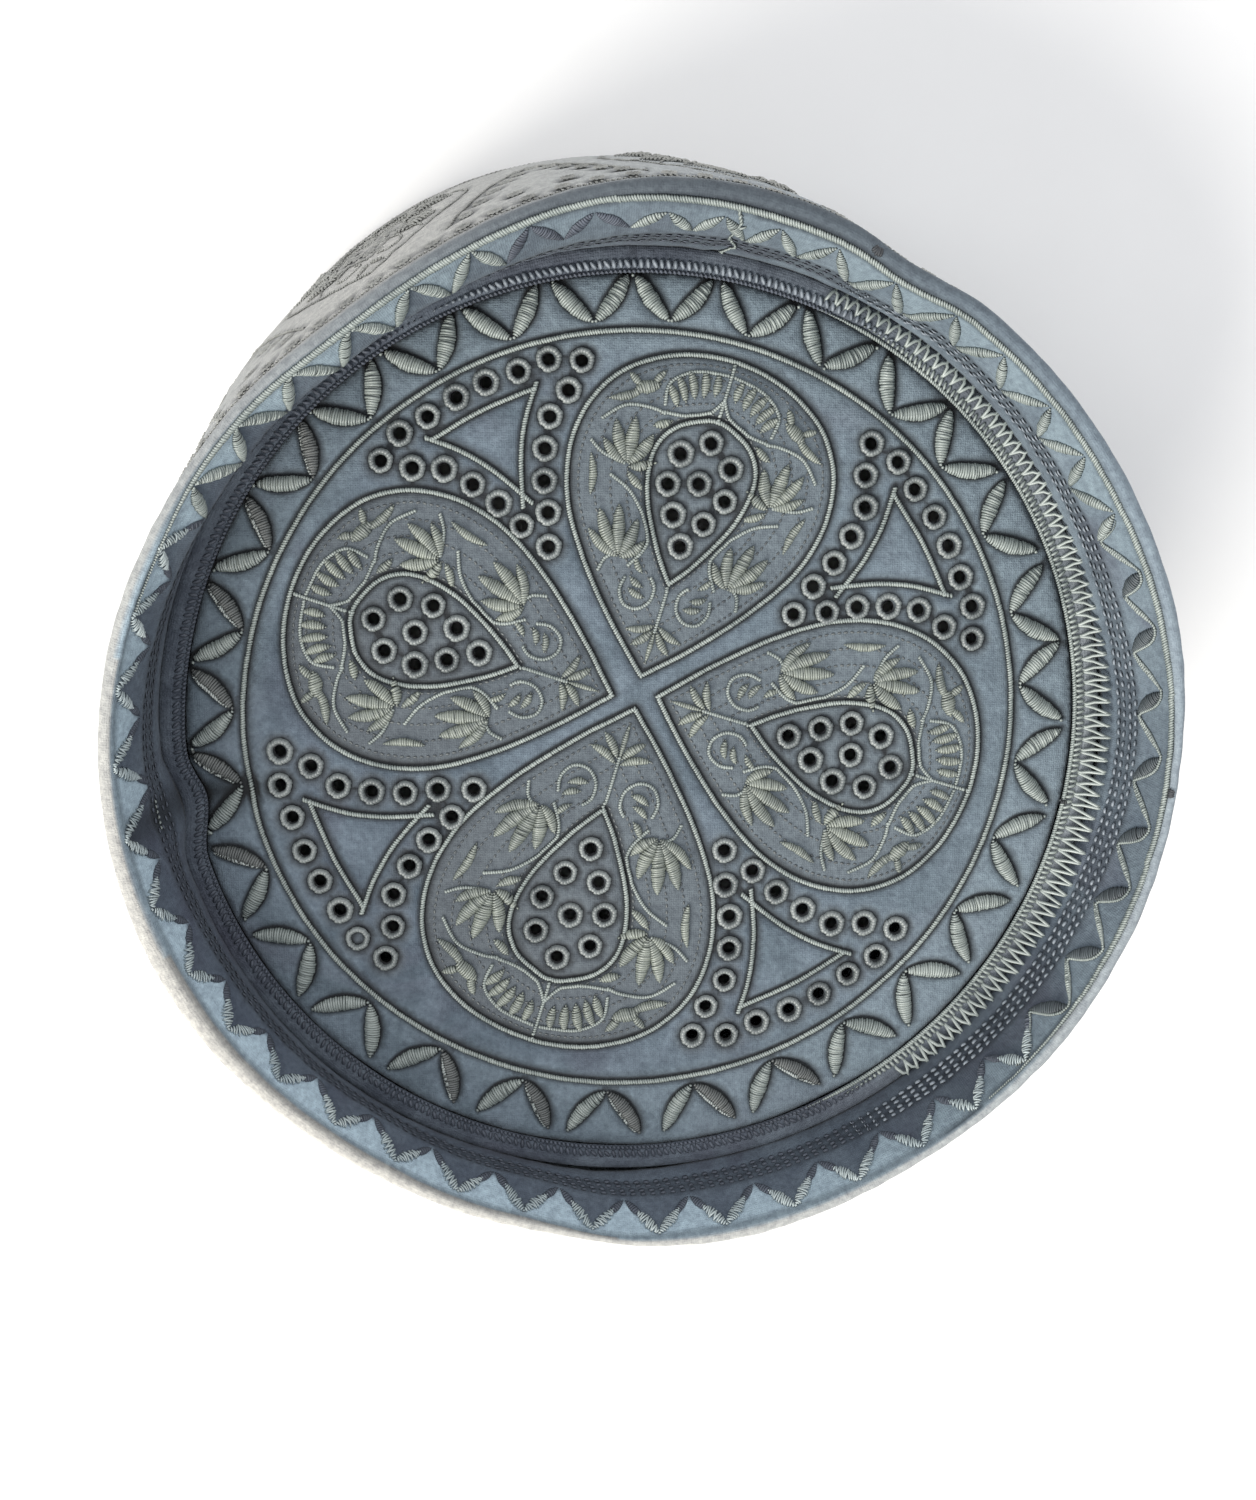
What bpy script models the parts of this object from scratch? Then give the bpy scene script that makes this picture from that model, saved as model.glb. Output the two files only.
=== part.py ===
# Embroidered cotton prayer cap, stood on its hem.
#
# A strip of stiffly stitched cotton is sewn into a band, folded inwards at
# its upper edge, and closed by a round crown that lies sunk below the rim.
# The crown is pierced by worked eyelets, in four drops and four triangles.
# Metres, +Z up. The back seam is towards +Y, and z = 0 is the floor.

import math
from collections import namedtuple

import bmesh
import bpy

MM = 0.001

# Driving sizes, in millimetres. Angles are degrees, clockwise from the back
# as seen from above.
CLOTH = 1.3              # two layers of cotton with cords stitched between
SEWN_GAP = 0.3           # room between two pieces that are sewn together
ROUND_STEPS = 60         # facets round the cap

# Hem: an oval for the head, longer from back to front, turned a little.
HEM_CENTRE = (-2.5, 1.2)
HEM_LONG = 97.0
HEM_SHORT = 88.5
HEM_TURN = -10.0
HEM_FOLD = 3.0           # upright strip of the turned hem

# Rim: the fold at the top of the band. It is lower at the back.
RIM_CENTRE = (0.0, -4.8)
RIM_HEIGHT = 80.2        # at the rim's centre
RIM_SLOPE = math.tan(math.radians(5.0))
FOLD_RADIUS = 1.7        # outside of the fold
WALL_BULGE = 1.6         # how far the wall swells between hem and rim

# Crown: a round of cloth pulled a little oval, lower at the back, with a low
# dome.
CROWN_CENTRE = (-1.6, -4.7)
CROWN_RADIUS = 80.7      # mean of its long and short radius
CROWN_OVAL = 1.1         # how much longer and shorter they are
CROWN_TURN = 75.0        # where it is longest
CROWN_HEIGHT = 60.0      # at the crown's centre
CROWN_SLOPE = math.tan(math.radians(8.0))
CROWN_DOME = 1.2
CROWN_RINGS = (0.17, 0.34, 0.51, 0.68, 0.85, 1.0)

# Seam roll: the turned-in edges of crown and band, overcast together and
# pressed flat.
ROLL_HALF_WIDTH = 2.0
ROLL_HALF_HEIGHT = 0.8
ROLL_RISE = 0.1          # its middle over the crown's upper face
ROLL_SIDES = 10

# The band at each section: the rim's radius from RIM_CENTRE, how far inside
# it the leaf strip starts, and how far that strip leans inwards over its
# width.
Section = namedtuple("Section", "angle radius inset lean")
SECTIONS = (
    Section(0, 94.2, 4.6, 4.2),
    Section(30, 92.7, 3.8, 3.1),
    Section(60, 93.1, 3.6, 3.6),
    Section(90, 94.5, 3.6, 2.4),
    Section(120, 92.8, 3.1, 2.2),
    Section(150, 91.4, 3.1, 2.4),
    Section(180, 92.2, 3.1, 2.9),
    Section(210, 90.8, 3.1, 2.6),
    Section(240, 93.3, 3.2, 3.3),
    Section(270, 94.0, 3.1, 2.8),
    Section(300, 90.9, 3.1, 3.8),
    Section(330, 88.9, 3.1, 3.9),
)
LEAF_STRIP = 7.3         # width of the strip that leans
SLOPE_SWELL = 0.5        # how far the slope below it swells
SEAM_RISE = 0.4          # height of the slope's foot over the crown's edge

# Dents: places where the soft cloth stands in from its outline, with the
# middle of each, its half width and its depth.
Dent = namedtuple("Dent", "angle half_width depth")
RIM_DENTS = (
    Dent(28, 9, 1.2),
    Dent(193, 12, 0.8),
    Dent(322, 12, 0.5),
)
WALL_DENTS = (
    Dent(48, 20, 1.6),
    Dent(138, 26, 2.2),
    Dent(222, 22, 1.8),
    Dent(292, 18, 1.4),
)
CROWN_CREASES = (
    Dent(262, 8, 1.6),
)
EDGE_DENTS = (
    Dent(260, 7, 2.2),
)

# Eyelets: charts of one drop and one triangle, as distances out from the
# motif's own point and to each side of its axis. A side of 0 is on the axis.
EYELET_HOLE = 1.15       # radius of the hole
HOLE_SIDES = 8
PUNCH_LENGTH = 8.0       # well past both faces of the cloth
Eyelet = namedtuple("Eyelet", "out side")
DROP_EYELETS = (
    Eyelet(29.0, 0.0),
    Eyelet(34.2, 3.0),
    Eyelet(39.4, 5.6),
    Eyelet(41.1, 0.0),
    Eyelet(45.4, 4.9),
    Eyelet(48.9, 0.0),
)
TRIANGLE_EYELETS = (
    Eyelet(32.4, 0.0),
    Eyelet(38.2, 2.8),
    Eyelet(43.8, 4.8),
    Eyelet(49.1, 7.6),
    Eyelet(54.0, 11.1),
    Eyelet(56.8, 16.4),
    Eyelet(60.6, 21.1),
    Eyelet(64.8, 3.1),
    Eyelet(64.0, 9.5),
    Eyelet(63.5, 15.6),
)
# One eyelet of the front left triangle was worked but never pierced.
UNPIERCED = ("front_left", 63.5, -15.6)

# Where each motif lies: its axis, its size against the chart, and its point.
Motif = namedtuple("Motif", "name axis size x y")
DROPS = (
    Motif("back", 17.0, 0.965, -1.9, 1.0),
    Motif("right", 107.3, 1.010, -1.4, 1.7),
    Motif("front", 197.2, 1.080, -0.8, 2.2),
    Motif("left", 288.0, 1.000, -2.6, -0.3),
)
TRIANGLES = (
    Motif("back_left", -26.2, 0.950, -3.9, 0.1),
    Motif("back_right", 61.2, 0.958, 0.0, 0.5),
    Motif("front_right", 152.4, 1.027, -0.6, 1.2),
    Motif("front_left", 244.7, 1.016, -1.7, -2.3),
)


def direction(angle):
    """Unit vector at an angle clockwise from the back."""
    turn = math.radians(angle)
    return math.sin(turn), math.cos(turn)


def around(column, angle):
    """Read one column of the sections, smoothly round the cap."""
    count = len(SECTIONS)
    place = (angle % 360.0) / 360.0 * count
    first = int(place) % count
    share = place - int(place)
    near = [getattr(SECTIONS[(first + k) % count], column) for k in (-1, 0, 1, 2)]
    before, here, after, beyond = near
    rise = (after - before) / 2
    fall = (beyond - here) / 2
    return (
        here
        + rise * share
        + (3 * (after - here) - 2 * rise - fall) * share ** 2
        + (2 * (here - after) + rise + fall) * share ** 3
    )


def dented(rows, angle):
    """Depth of the dents at an angle, each with a rounded section."""
    depth = 0.0
    for middle, half_width, deepest in rows:
        off = abs((angle - middle + 180.0) % 360.0 - 180.0)
        if off < half_width:
            depth += deepest * math.cos(math.pi / 2 * off / half_width) ** 2
    return depth


def hem_radius(angle):
    """Radius of the head's oval from its own centre."""
    turn = math.radians(angle - HEM_TURN)
    return 1 / math.hypot(math.cos(turn) / HEM_LONG, math.sin(turn) / HEM_SHORT)


def rim_radius(angle):
    return around("radius", angle) - dented(RIM_DENTS, angle)


def rim_height(angle):
    return RIM_HEIGHT - RIM_SLOPE * rim_radius(angle) * direction(angle)[1]


def crown_radius(angle):
    oval = CROWN_OVAL * math.cos(math.radians(2 * (angle - CROWN_TURN)))
    return CROWN_RADIUS + oval - dented(EDGE_DENTS, angle)


def crown_height(x, y):
    """Height of the crown's upper face above the floor."""
    across = x - CROWN_CENTRE[0]
    along = y - CROWN_CENTRE[1]
    out = math.hypot(across, along) / CROWN_RADIUS
    angle = math.degrees(math.atan2(across, along))
    crease = dented(CROWN_CREASES, angle) * max(0.0, 4 * out - 3)
    return CROWN_HEIGHT - CROWN_SLOPE * along + CROWN_DOME * (1 - out ** 2) - crease


def crown_edge(angle, outwards=0.0):
    """Point on the crown's upper edge, or a distance outside it."""
    out_x, out_y = direction(angle)
    x = CROWN_CENTRE[0] + crown_radius(angle) * out_x
    y = CROWN_CENTRE[1] + crown_radius(angle) * out_y
    return x + outwards * out_x, y + outwards * out_y, crown_height(x, y)


def band_section(angle):
    """Outer face of the band at an angle, from the hem up and over the rim."""
    out_x, out_y = direction(angle)
    radius = rim_radius(angle)
    top = rim_height(angle)
    hem = hem_radius(angle)

    def place(distance, height):
        share = max(0.0, min(1.0, (height - HEM_FOLD) / (top - HEM_FOLD)))
        x = HEM_CENTRE[0] + (RIM_CENTRE[0] - HEM_CENTRE[0]) * share
        y = HEM_CENTRE[1] + (RIM_CENTRE[1] - HEM_CENTRE[1]) * share
        return x + distance * out_x, y + distance * out_y, height

    points = [place(hem, 0.0), place(hem, HEM_FOLD)]
    wall_top = top - FOLD_RADIUS
    for share in (0.25, 0.5, 0.75, 0.92):
        height = HEM_FOLD + (wall_top - HEM_FOLD) * share
        swell = WALL_BULGE * math.sin(math.pi * share)
        dent = dented(WALL_DENTS, angle) * math.sin(math.pi * share)
        points.append(place(hem + (radius - hem) * share + swell - dent, height))
    for turn in (0, 45, 90, 135):
        along = math.cos(math.radians(turn))
        up = math.sin(math.radians(turn))
        points.append(place(radius - FOLD_RADIUS * (1 - along), wall_top + FOLD_RADIUS * up))

    inset = around("inset", angle)
    lean = around("lean", angle)
    strip_foot = wall_top - math.sqrt(LEAF_STRIP ** 2 - lean ** 2)
    points.append(place(radius - inset, wall_top))
    points.append(place(radius - inset - lean, strip_foot))

    seam_x, seam_y, seam_z = crown_edge(angle, 2 * SEWN_GAP + 2 * ROLL_HALF_WIDTH)
    foot_x, foot_y, foot_z = points[-1]
    points.append((
        (foot_x + seam_x) / 2 - SLOPE_SWELL * out_x,
        (foot_y + seam_y) / 2 - SLOPE_SWELL * out_y,
        (foot_z + seam_z) / 2,
    ))
    points.append((seam_x, seam_y, seam_z + SEAM_RISE))
    return points


def material(name, colour, roughness):
    """Plain Principled cloth material."""
    made = bpy.data.materials.new(name)
    made.use_nodes = True
    shader = made.node_tree.nodes["Principled BSDF"]
    shader.inputs["Base Color"].default_value = (*colour, 1.0)
    shader.inputs["Roughness"].default_value = roughness
    shader.inputs["Metallic"].default_value = 0.0
    made.diffuse_color = (*colour, 1.0)
    return made


def add_object(name, mesh, collection):
    made = bpy.data.objects.new(name, mesh)
    collection.objects.link(made)
    return made


def sheet(name, rows, closed_with, collection):
    """Open sheet through rows of points round the cap, in millimetres."""
    shape = bmesh.new()
    rings = [[shape.verts.new([c * MM for c in point]) for point in row] for row in rows]
    for lower, upper in zip(rings, rings[1:]):
        for k in range(ROUND_STEPS):
            after = (k + 1) % ROUND_STEPS
            shape.faces.new((lower[after], lower[k], upper[k], upper[after]))
    if closed_with:
        middle = shape.verts.new([c * MM for c in closed_with])
        for k in range(ROUND_STEPS):
            shape.faces.new((rings[-1][(k + 1) % ROUND_STEPS], rings[-1][k], middle))
    mesh = bpy.data.meshes.new(name)
    shape.to_mesh(mesh)
    shape.free()
    return add_object(name, mesh, collection)


def thicken(cloth):
    """Give an open sheet the cloth's thickness, away from its outer face."""
    wall = cloth.modifiers.new("cloth", "SOLIDIFY")
    wall.thickness = CLOTH * MM
    wall.offset = -1
    wall.use_even_offset = True
    cloth.data.shade_smooth()


def motif_places(motifs, chart):
    """Every pierced eyelet of a chart in each of its motifs, as x and y."""
    level = math.cos(math.atan(CROWN_SLOPE))
    for motif in motifs:
        out_x, out_y = direction(motif.axis)
        side_x, side_y = direction(motif.axis + 90)
        for eyelet in chart:
            for side in sorted({eyelet.side, -eyelet.side}):
                if (motif.name, eyelet.out, side) != UNPIERCED:
                    x = eyelet.out * out_x + side * side_x
                    y = eyelet.out * out_y + side * side_y
                    yield motif.x + motif.size * x, motif.y + motif.size * y * level


def build_band(cap):
    angles = [360.0 * k / ROUND_STEPS for k in range(ROUND_STEPS)]
    sections = [band_section(angle) for angle in angles]
    rows = [[section[k] for section in sections] for k in range(len(sections[0]))]
    band = sheet("side_band", rows, None, cap)
    thicken(band)
    band.data.materials.append(material("blue_cotton", (0.112, 0.160, 0.235), 0.85))


def build_crown(cap, cutters):
    rows = []
    for share in reversed(CROWN_RINGS):
        row = []
        for k in range(ROUND_STEPS):
            angle = 360.0 * k / ROUND_STEPS
            radius = share * crown_radius(angle)
            out_x, out_y = direction(angle)
            x = CROWN_CENTRE[0] + radius * out_x
            y = CROWN_CENTRE[1] + radius * out_y
            row.append((x, y, crown_height(x, y)))
        rows.append(row)
    x, y = CROWN_CENTRE
    crown = sheet("crown_disc", rows, (x, y, crown_height(x, y)), cap)
    thicken(crown)
    crown.data.materials.append(material("pale_blue_cotton", (0.130, 0.185, 0.260), 0.85))

    places = list(motif_places(DROPS, DROP_EYELETS))
    places += list(motif_places(TRIANGLES, TRIANGLE_EYELETS))
    punches = bmesh.new()
    for x, y in places:
        made = bmesh.ops.create_cone(
            punches,
            cap_ends=True,
            segments=HOLE_SIDES,
            radius1=EYELET_HOLE * MM,
            radius2=EYELET_HOLE * MM,
            depth=PUNCH_LENGTH * MM,
        )
        centre = (x * MM, y * MM, crown_height(x, y) * MM)
        bmesh.ops.translate(punches, verts=made["verts"], vec=centre)
    mesh = bpy.data.meshes.new("eyelet_punches")
    punches.to_mesh(mesh)
    punches.free()
    cutter = add_object("eyelet_punches", mesh, cutters)
    cutter.display_type = "WIRE"
    cutter.hide_render = True
    pierced = crown.modifiers.new("eyelets", "BOOLEAN")
    pierced.operation = "DIFFERENCE"
    pierced.object = cutter


def build_roll(cap):
    shape = bmesh.new()
    rings = []
    for side in range(ROLL_SIDES):
        turn = 2 * math.pi * side / ROLL_SIDES
        reach = SEWN_GAP + ROLL_HALF_WIDTH * (1 + math.cos(turn))
        rise = ROLL_RISE + ROLL_HALF_HEIGHT * math.sin(turn)
        ring = []
        for k in range(ROUND_STEPS):
            x, y, z = crown_edge(360.0 * k / ROUND_STEPS, reach)
            ring.append(shape.verts.new((x * MM, y * MM, (z + rise) * MM)))
        rings.append(ring)
    for side, lower in enumerate(rings):
        upper = rings[(side + 1) % ROLL_SIDES]
        for k in range(ROUND_STEPS):
            after = (k + 1) % ROUND_STEPS
            shape.faces.new((lower[after], lower[k], upper[k], upper[after]))
    mesh = bpy.data.meshes.new("crown_seam")
    shape.to_mesh(mesh)
    shape.free()
    roll = add_object("crown_seam", mesh, cap)
    roll.data.shade_smooth()
    roll.data.materials.append(material("overcast_cotton", (0.300, 0.330, 0.330), 0.85))


for old in list(bpy.data.objects):
    bpy.data.objects.remove(old, do_unlink=True)

cap_collection = bpy.data.collections.new("prayer_cap")
cutter_collection = bpy.data.collections.new("cutters")
for made_collection in (cap_collection, cutter_collection):
    bpy.context.scene.collection.children.link(made_collection)

build_band(cap_collection)
build_crown(cap_collection, cutter_collection)
build_roll(cap_collection)
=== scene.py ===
import math
from collections import namedtuple
from functools import lru_cache

import bmesh
import bpy
from mathutils import Matrix, Vector, geometry, kdtree, noise


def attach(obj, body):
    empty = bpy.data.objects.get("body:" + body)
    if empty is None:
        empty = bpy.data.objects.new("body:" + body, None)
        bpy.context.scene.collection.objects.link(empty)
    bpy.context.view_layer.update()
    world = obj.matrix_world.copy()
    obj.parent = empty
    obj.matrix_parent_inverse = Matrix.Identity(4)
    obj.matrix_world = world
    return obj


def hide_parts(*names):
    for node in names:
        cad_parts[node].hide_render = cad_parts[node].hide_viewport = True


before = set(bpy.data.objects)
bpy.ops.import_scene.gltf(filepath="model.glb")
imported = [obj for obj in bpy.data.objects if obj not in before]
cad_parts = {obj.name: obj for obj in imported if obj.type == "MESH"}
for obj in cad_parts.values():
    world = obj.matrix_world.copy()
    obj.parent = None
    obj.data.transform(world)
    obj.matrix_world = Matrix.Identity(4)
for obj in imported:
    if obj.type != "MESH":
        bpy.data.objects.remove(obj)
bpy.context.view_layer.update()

# The crown: a round of two cotton layers, dyed indigo and washed soft, sunk
# below the rim. Its pattern is drawn first, because every stitched line pulls
# the cloth down beside it, and the worked eyelets are punched right through.

MM = 0.001
CLOTH = 1.2                  # thickness of the two layers
CROWN_CENTRE = (-1.6, -4.7)
CROWN_RADIUS = 80.7          # mean of its long and short radius
CROWN_OVAL = 1.1
CROWN_TURN = 75.0
CROWN_HEIGHT = 60.0
CROWN_SLOPE = math.tan(math.radians(8.0))
CROWN_DOME = 1.2
EYELET_HOLE = 1.15
HOLE_SIDES = 14
EYELET_RING = 2.3            # outer radius of the stitches that bind it
CROWN_GRID = 0.9             # spacing of the cloth's own points
GRID_ROW = 0.866             # from row to row of a three-sided grid of spacing 1
EDGE_POINTS = 480
LINE_STEP = 0.8              # spacing of points along a stitched line
FURROW_FOOT = 0.12           # from the edge of the stitches to the furrow's foot
FURROW_WIDTH = 0.75
STITCH_PULL = 0.42           # depth of the furrow that a line of stitches makes
PUFF = 0.20                  # how far the cloth stands up between two lines

Dent = namedtuple("Dent", "angle half_width depth")
CROWN_CREASES = (Dent(262, 8, 1.6), Dent(261, 3, 0.9))
CREASE_SHADE = (Dent(261, 3.2, 0.75),)
EDGE_DENTS = (Dent(260, 7, 2.2),)

Motif = namedtuple("Motif", "name axis size x y")
DROPS = (
    Motif("back", 17.0, 0.965, -1.9, 1.0),
    Motif("right", 107.3, 1.010, -1.4, 1.7),
    Motif("front", 197.2, 1.080, -0.8, 2.2),
    Motif("left", 288.0, 1.000, -2.6, -0.3),
)
TRIANGLES = (
    Motif("back_left", -26.2, 0.950, -3.9, 0.1),
    Motif("back_right", 61.2, 0.958, 0.0, 0.5),
    Motif("front_right", 152.4, 1.027, -0.6, 1.2),
    Motif("front_left", 244.7, 1.016, -1.7, -2.3),
)

# Charts of one drop and one triangle, in millimetres out from the motif's
# point and to the right of its axis. Each is worked on both sides.
DROP_EYELETS = ((29.0, 0.0), (34.2, 3.0), (39.4, 5.6), (41.1, 0.0), (45.4, 4.9), (48.9, 0.0))
TRIANGLE_EYELETS = (
    (32.4, 0.0), (38.2, 2.8), (43.8, 4.8), (49.1, 7.6), (54.0, 11.1),
    (56.8, 16.4), (60.6, 21.1), (64.8, 3.1), (64.0, 9.5), (63.5, 15.6),
)
UNPIERCED = ("front_left", 63.5, -15.6)
DROP_OUTLINE = (
    (3.7, 0.0), (11.5, 8.0), (21.0, 16.3), (30.6, 22.4), (39.9, 25.0),
    (48.6, 24.3), (55.7, 20.6), (60.3, 15.2), (63.3, 8.3), (64.4, 0.0),
)
SEED_OUTLINE = (
    (21.7, 0.0), (26.7, 3.7), (34.5, 8.0), (40.8, 9.8), (46.0, 9.6), (50.1, 6.9),
    (52.7, 1.9), (52.9, 0.0),
)
TRIANGLE_SIDES = (
    ((41.2, -0.9), (49.2, 2.6), (55.4, 6.6), (60.7, 11.6)),
    ((41.2, 0.9), (49.2, -2.6), (55.4, -6.6), (60.7, -11.6)),
    ((59.9, -10.9), (60.6, 0.0), (59.9, 10.9)),
)
RING_CENTRE = (-2.35, -3.4)
RING_RADIUS = 69.7
# Where the 30 pairs of border leaves point inwards, clockwise from the back.
BORDER_POINTS = (
    5.5, 16.9, 28.5, 40.7, 51.3, 63.0, 75.1, 85.6, 97.0, 108.8,
    121.1, 133.1, 145.4, 157.9, 170.6, 184.0, 196.7, 210.1, 223.0, 235.6,
    248.1, 260.4, 271.5, 282.8, 294.9, 306.9, 318.8, 330.7, 342.4, 354.5,
)
BORDER_INNER = 71.7          # radius where a pair meets, before the oval
BORDER_OUTER = 79.4
BORDER_SPREAD = 4.9          # degrees from a pair's middle to its outer tips
BORDER_LEAF = 1.55           # half the width of a border leaf
CORD_WIDTH = 0.54            # half the width of a bound line


def direction(angle):
    """Unit vector at an angle clockwise from the back, seen from above."""
    turn = math.radians(angle)
    return math.sin(turn), math.cos(turn)


def held(value, low=0.0, high=1.0):
    """A value held between two others."""
    return max(low, min(high, value))


def dented(rows, angle):
    """Depth of the dents at an angle, each with a rounded section."""
    depth = 0.0
    for middle, half_width, deepest in rows:
        off = abs((angle - middle + 180.0) % 360.0 - 180.0)
        if off < half_width:
            depth += deepest * math.cos(math.pi / 2 * off / half_width) ** 2
    return depth


def oval(angle):
    """How much farther out the crown's round lines lie at an angle."""
    return CROWN_OVAL * math.cos(math.radians(2 * (angle - CROWN_TURN)))


def crown_radius(angle):
    return CROWN_RADIUS + oval(angle) - dented(EDGE_DENTS, angle)


def from_centre(x, y):
    """Angle and distance of a place from the crown's centre."""
    across, along = x - CROWN_CENTRE[0], y - CROWN_CENTRE[1]
    return math.degrees(math.atan2(across, along)), math.hypot(across, along)


def crown_height(x, y):
    """Height of the crown's upper face above the floor."""
    angle, away = from_centre(x, y)
    out = away / CROWN_RADIUS
    fall = CROWN_SLOPE * (y - CROWN_CENTRE[1])
    crease = dented(CROWN_CREASES, angle) * max(0.0, 4 * out - 3)
    return CROWN_HEIGHT - fall + CROWN_DOME * (1 - out ** 2) - crease


def on_crown(x, y, lift=0.0):
    return Vector((x, y, crown_height(x, y) + lift)) * MM


def polar(angle, radius, centre=CROWN_CENTRE):
    """Point of the crown at an angle and a radius."""
    out_x, out_y = direction(angle)
    return centre[0] + radius * out_x, centre[1] + radius * out_y


def in_motif(motif, out, side):
    """Point of the crown at a place in a motif's chart."""
    out_x, out_y = direction(motif.axis)
    side_x, side_y = direction(motif.axis + 90)
    level = math.cos(math.atan(CROWN_SLOPE))
    x = motif.x + motif.size * (out * out_x + side * side_x)
    y = motif.y + motif.size * (out * out_y + side * side_y) * level
    return x, y


def both_sides(half):
    """Closed outline from its right half, which starts and ends on the axis."""
    return list(half) + [(out, -side) for out, side in reversed(half[1:-1])]


def smooth_line(points, step, closed=False, sharp=()):
    """Points a step apart on a smooth curve through the given ones."""
    count = len(points)
    made = []
    for k in range(count if closed else count - 1):
        before, here, after, beyond = [
            Vector(points[n % count if closed else held(n, 0, count - 1)])
            for n in range(k - 1, k + 3)
        ]
        if k in sharp:
            before = 2 * here - after
        if (k + 1) % count in sharp:
            beyond = 2 * after - here
        runs = max(1, round((after - here).length / step))
        for j in range(runs):
            t = j / runs
            made.append(0.5 * (
                2 * here + (after - before) * t
                + (2 * before - 5 * here + 4 * after - beyond) * t ** 2
                + (3 * here - before - 3 * after + beyond) * t ** 3
            ))
    if not closed:
        made.append(Vector(points[-1]))
    return [tuple(point) for point in made]


def eyelet_places():
    """Every worked eyelet as x, y, and whether it is pierced."""
    for motifs, chart in ((DROPS, DROP_EYELETS), (TRIANGLES, TRIANGLE_EYELETS)):
        for motif in motifs:
            for out, side in chart:
                for signed in sorted({side, -side}):
                    pierced = (motif.name, out, signed) != UNPIERCED
                    yield (*in_motif(motif, out, signed), pierced)


def crown_lines():
    """The stitched lines of the crown, as (name, points, closed)."""
    turns = [k * 360 / 550 for k in range(550)]
    yield "ring", [polar(turn, RING_RADIUS + oval(turn), RING_CENTRE) for turn in turns], True
    for motif in DROPS:
        for name, half in (("drop", DROP_OUTLINE), ("seed", SEED_OUTLINE)):
            outline = smooth_line(both_sides(half), LINE_STEP, closed=True, sharp=(0,))
            yield name, [in_motif(motif, *point) for point in outline], True
    for motif in TRIANGLES:
        for side in TRIANGLE_SIDES:
            line = smooth_line(side, LINE_STEP)
            yield "triangle", [in_motif(motif, *point) for point in line], False


def border_leaf_ends():
    """Both ends of each border leaf, from the point where a pair meets."""
    for middle in BORDER_POINTS:
        for side in (-1, 1):
            inner = polar(middle + side * 0.35, BORDER_INNER + oval(middle), RING_CENTRE)
            turn = middle + side * BORDER_SPREAD
            outer = polar(turn, BORDER_OUTER + oval(turn), RING_CENTRE)
            yield inner, outer


def tree_of(points):
    finder = kdtree.KDTree(len(points))
    for k, point in enumerate(points):
        finder.insert((point[0], point[1], 0.0), k)
    finder.balance()
    return finder


def beside(points, closed, offsets):
    """A line's points moved sideways, each by its own offset."""
    count = len(points)
    moved = []
    for k, ((x, y), offset) in enumerate(zip(points, offsets)):
        back = points[k - 1] if closed or k else points[k]
        ahead = points[(k + 1) % count] if closed or k < count - 1 else points[k]
        along = Vector((ahead[0] - back[0], ahead[1] - back[1])).normalized()
        moved.append((x - along.y * offset, y + along.x * offset))
    return moved


def flat_cloth(points, loops, is_cloth):
    """Triangles over a flat chart, between its points and along the edges of its holes."""
    edges = [(loop[k - 1], loop[k]) for loop in loops for k in range(len(loop))]
    corners, _, faces, *_ = geometry.delaunay_2d_cdt(
        [Vector(point) for point in points], edges, [], 0, 1e-4
    )
    kept = []
    for face in faces:
        middle = sum((corners[k] for k in face), Vector((0.0, 0.0))) / len(face)
        if is_cloth(*middle):
            kept.append(tuple(face))
    return [tuple(corner) for corner in corners], kept


def leaf_line(start, end, bow, step=0.6):
    """Axis of a leaf between two points, bowed sideways at its middle."""
    start, end = Vector(start), Vector(end)
    along = end - start
    middle = (start + end) / 2 + Vector((-along.y, along.x)) * bow
    return smooth_line([tuple(start), tuple(middle), tuple(end)], step)


def leaf_widths(count, width):
    """Half widths along a leaf, which swells slowly and ends in two points."""
    turns = [math.pi * (0.04 + 0.92 * k / (count - 1)) for k in range(count)]
    return [width * math.sin(turn) ** 0.8 for turn in turns]


lines_of_crown = list(crown_lines())
eyelets_of_crown = list(eyelet_places())
rings_of_crown = tree_of([(x, y) for x, y, _ in eyelets_of_crown])
border_leaves = [
    leaf_line(inner, outer, 0.05 * (-1 if k % 2 else 1))
    for k, (inner, outer) in enumerate(border_leaf_ends())
]
worked_points, worked_widths = [], []
for _, line, _ in lines_of_crown:
    worked_points += line
    worked_widths += [CORD_WIDTH] * len(line)
for leaf in border_leaves:
    worked_points += leaf
    worked_widths += leaf_widths(len(leaf), BORDER_LEAF)
work_of_crown = tree_of(worked_points)
drop_rings = [
    [Vector(point) for point in line] for name, line, _ in lines_of_crown if name == "drop"
]


def inside(point, outline):
    """Whether a flat point lies within a closed outline."""
    within = False
    x, y = point
    for k, (bx, by) in enumerate(outline):
        ax, ay = outline[k - 1]
        if (ay > y) != (by > y) and x < (bx - ax) * (y - ay) / (by - ay) + ax:
            within = not within
    return within


def from_edge(x, y):
    """Distance inside the crown's edge."""
    angle, away = from_centre(x, y)
    return crown_radius(angle) - away


def is_crown(x, y):
    if from_edge(x, y) < 0.05:
        return False
    _, index, away = rings_of_crown.find((x, y, 0.0))
    return away > EYELET_HOLE or not eyelets_of_crown[index][2]


def from_stitches(x, y):
    """Distance from a point of the crown to the edge of the nearest stitches."""
    _, index, away = work_of_crown.find((x, y, 0.0))
    ring = abs(rings_of_crown.find((x, y, 0.0))[2] - EYELET_RING + 0.5) - 0.5
    return min(away - worked_widths[index], ring)


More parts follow.
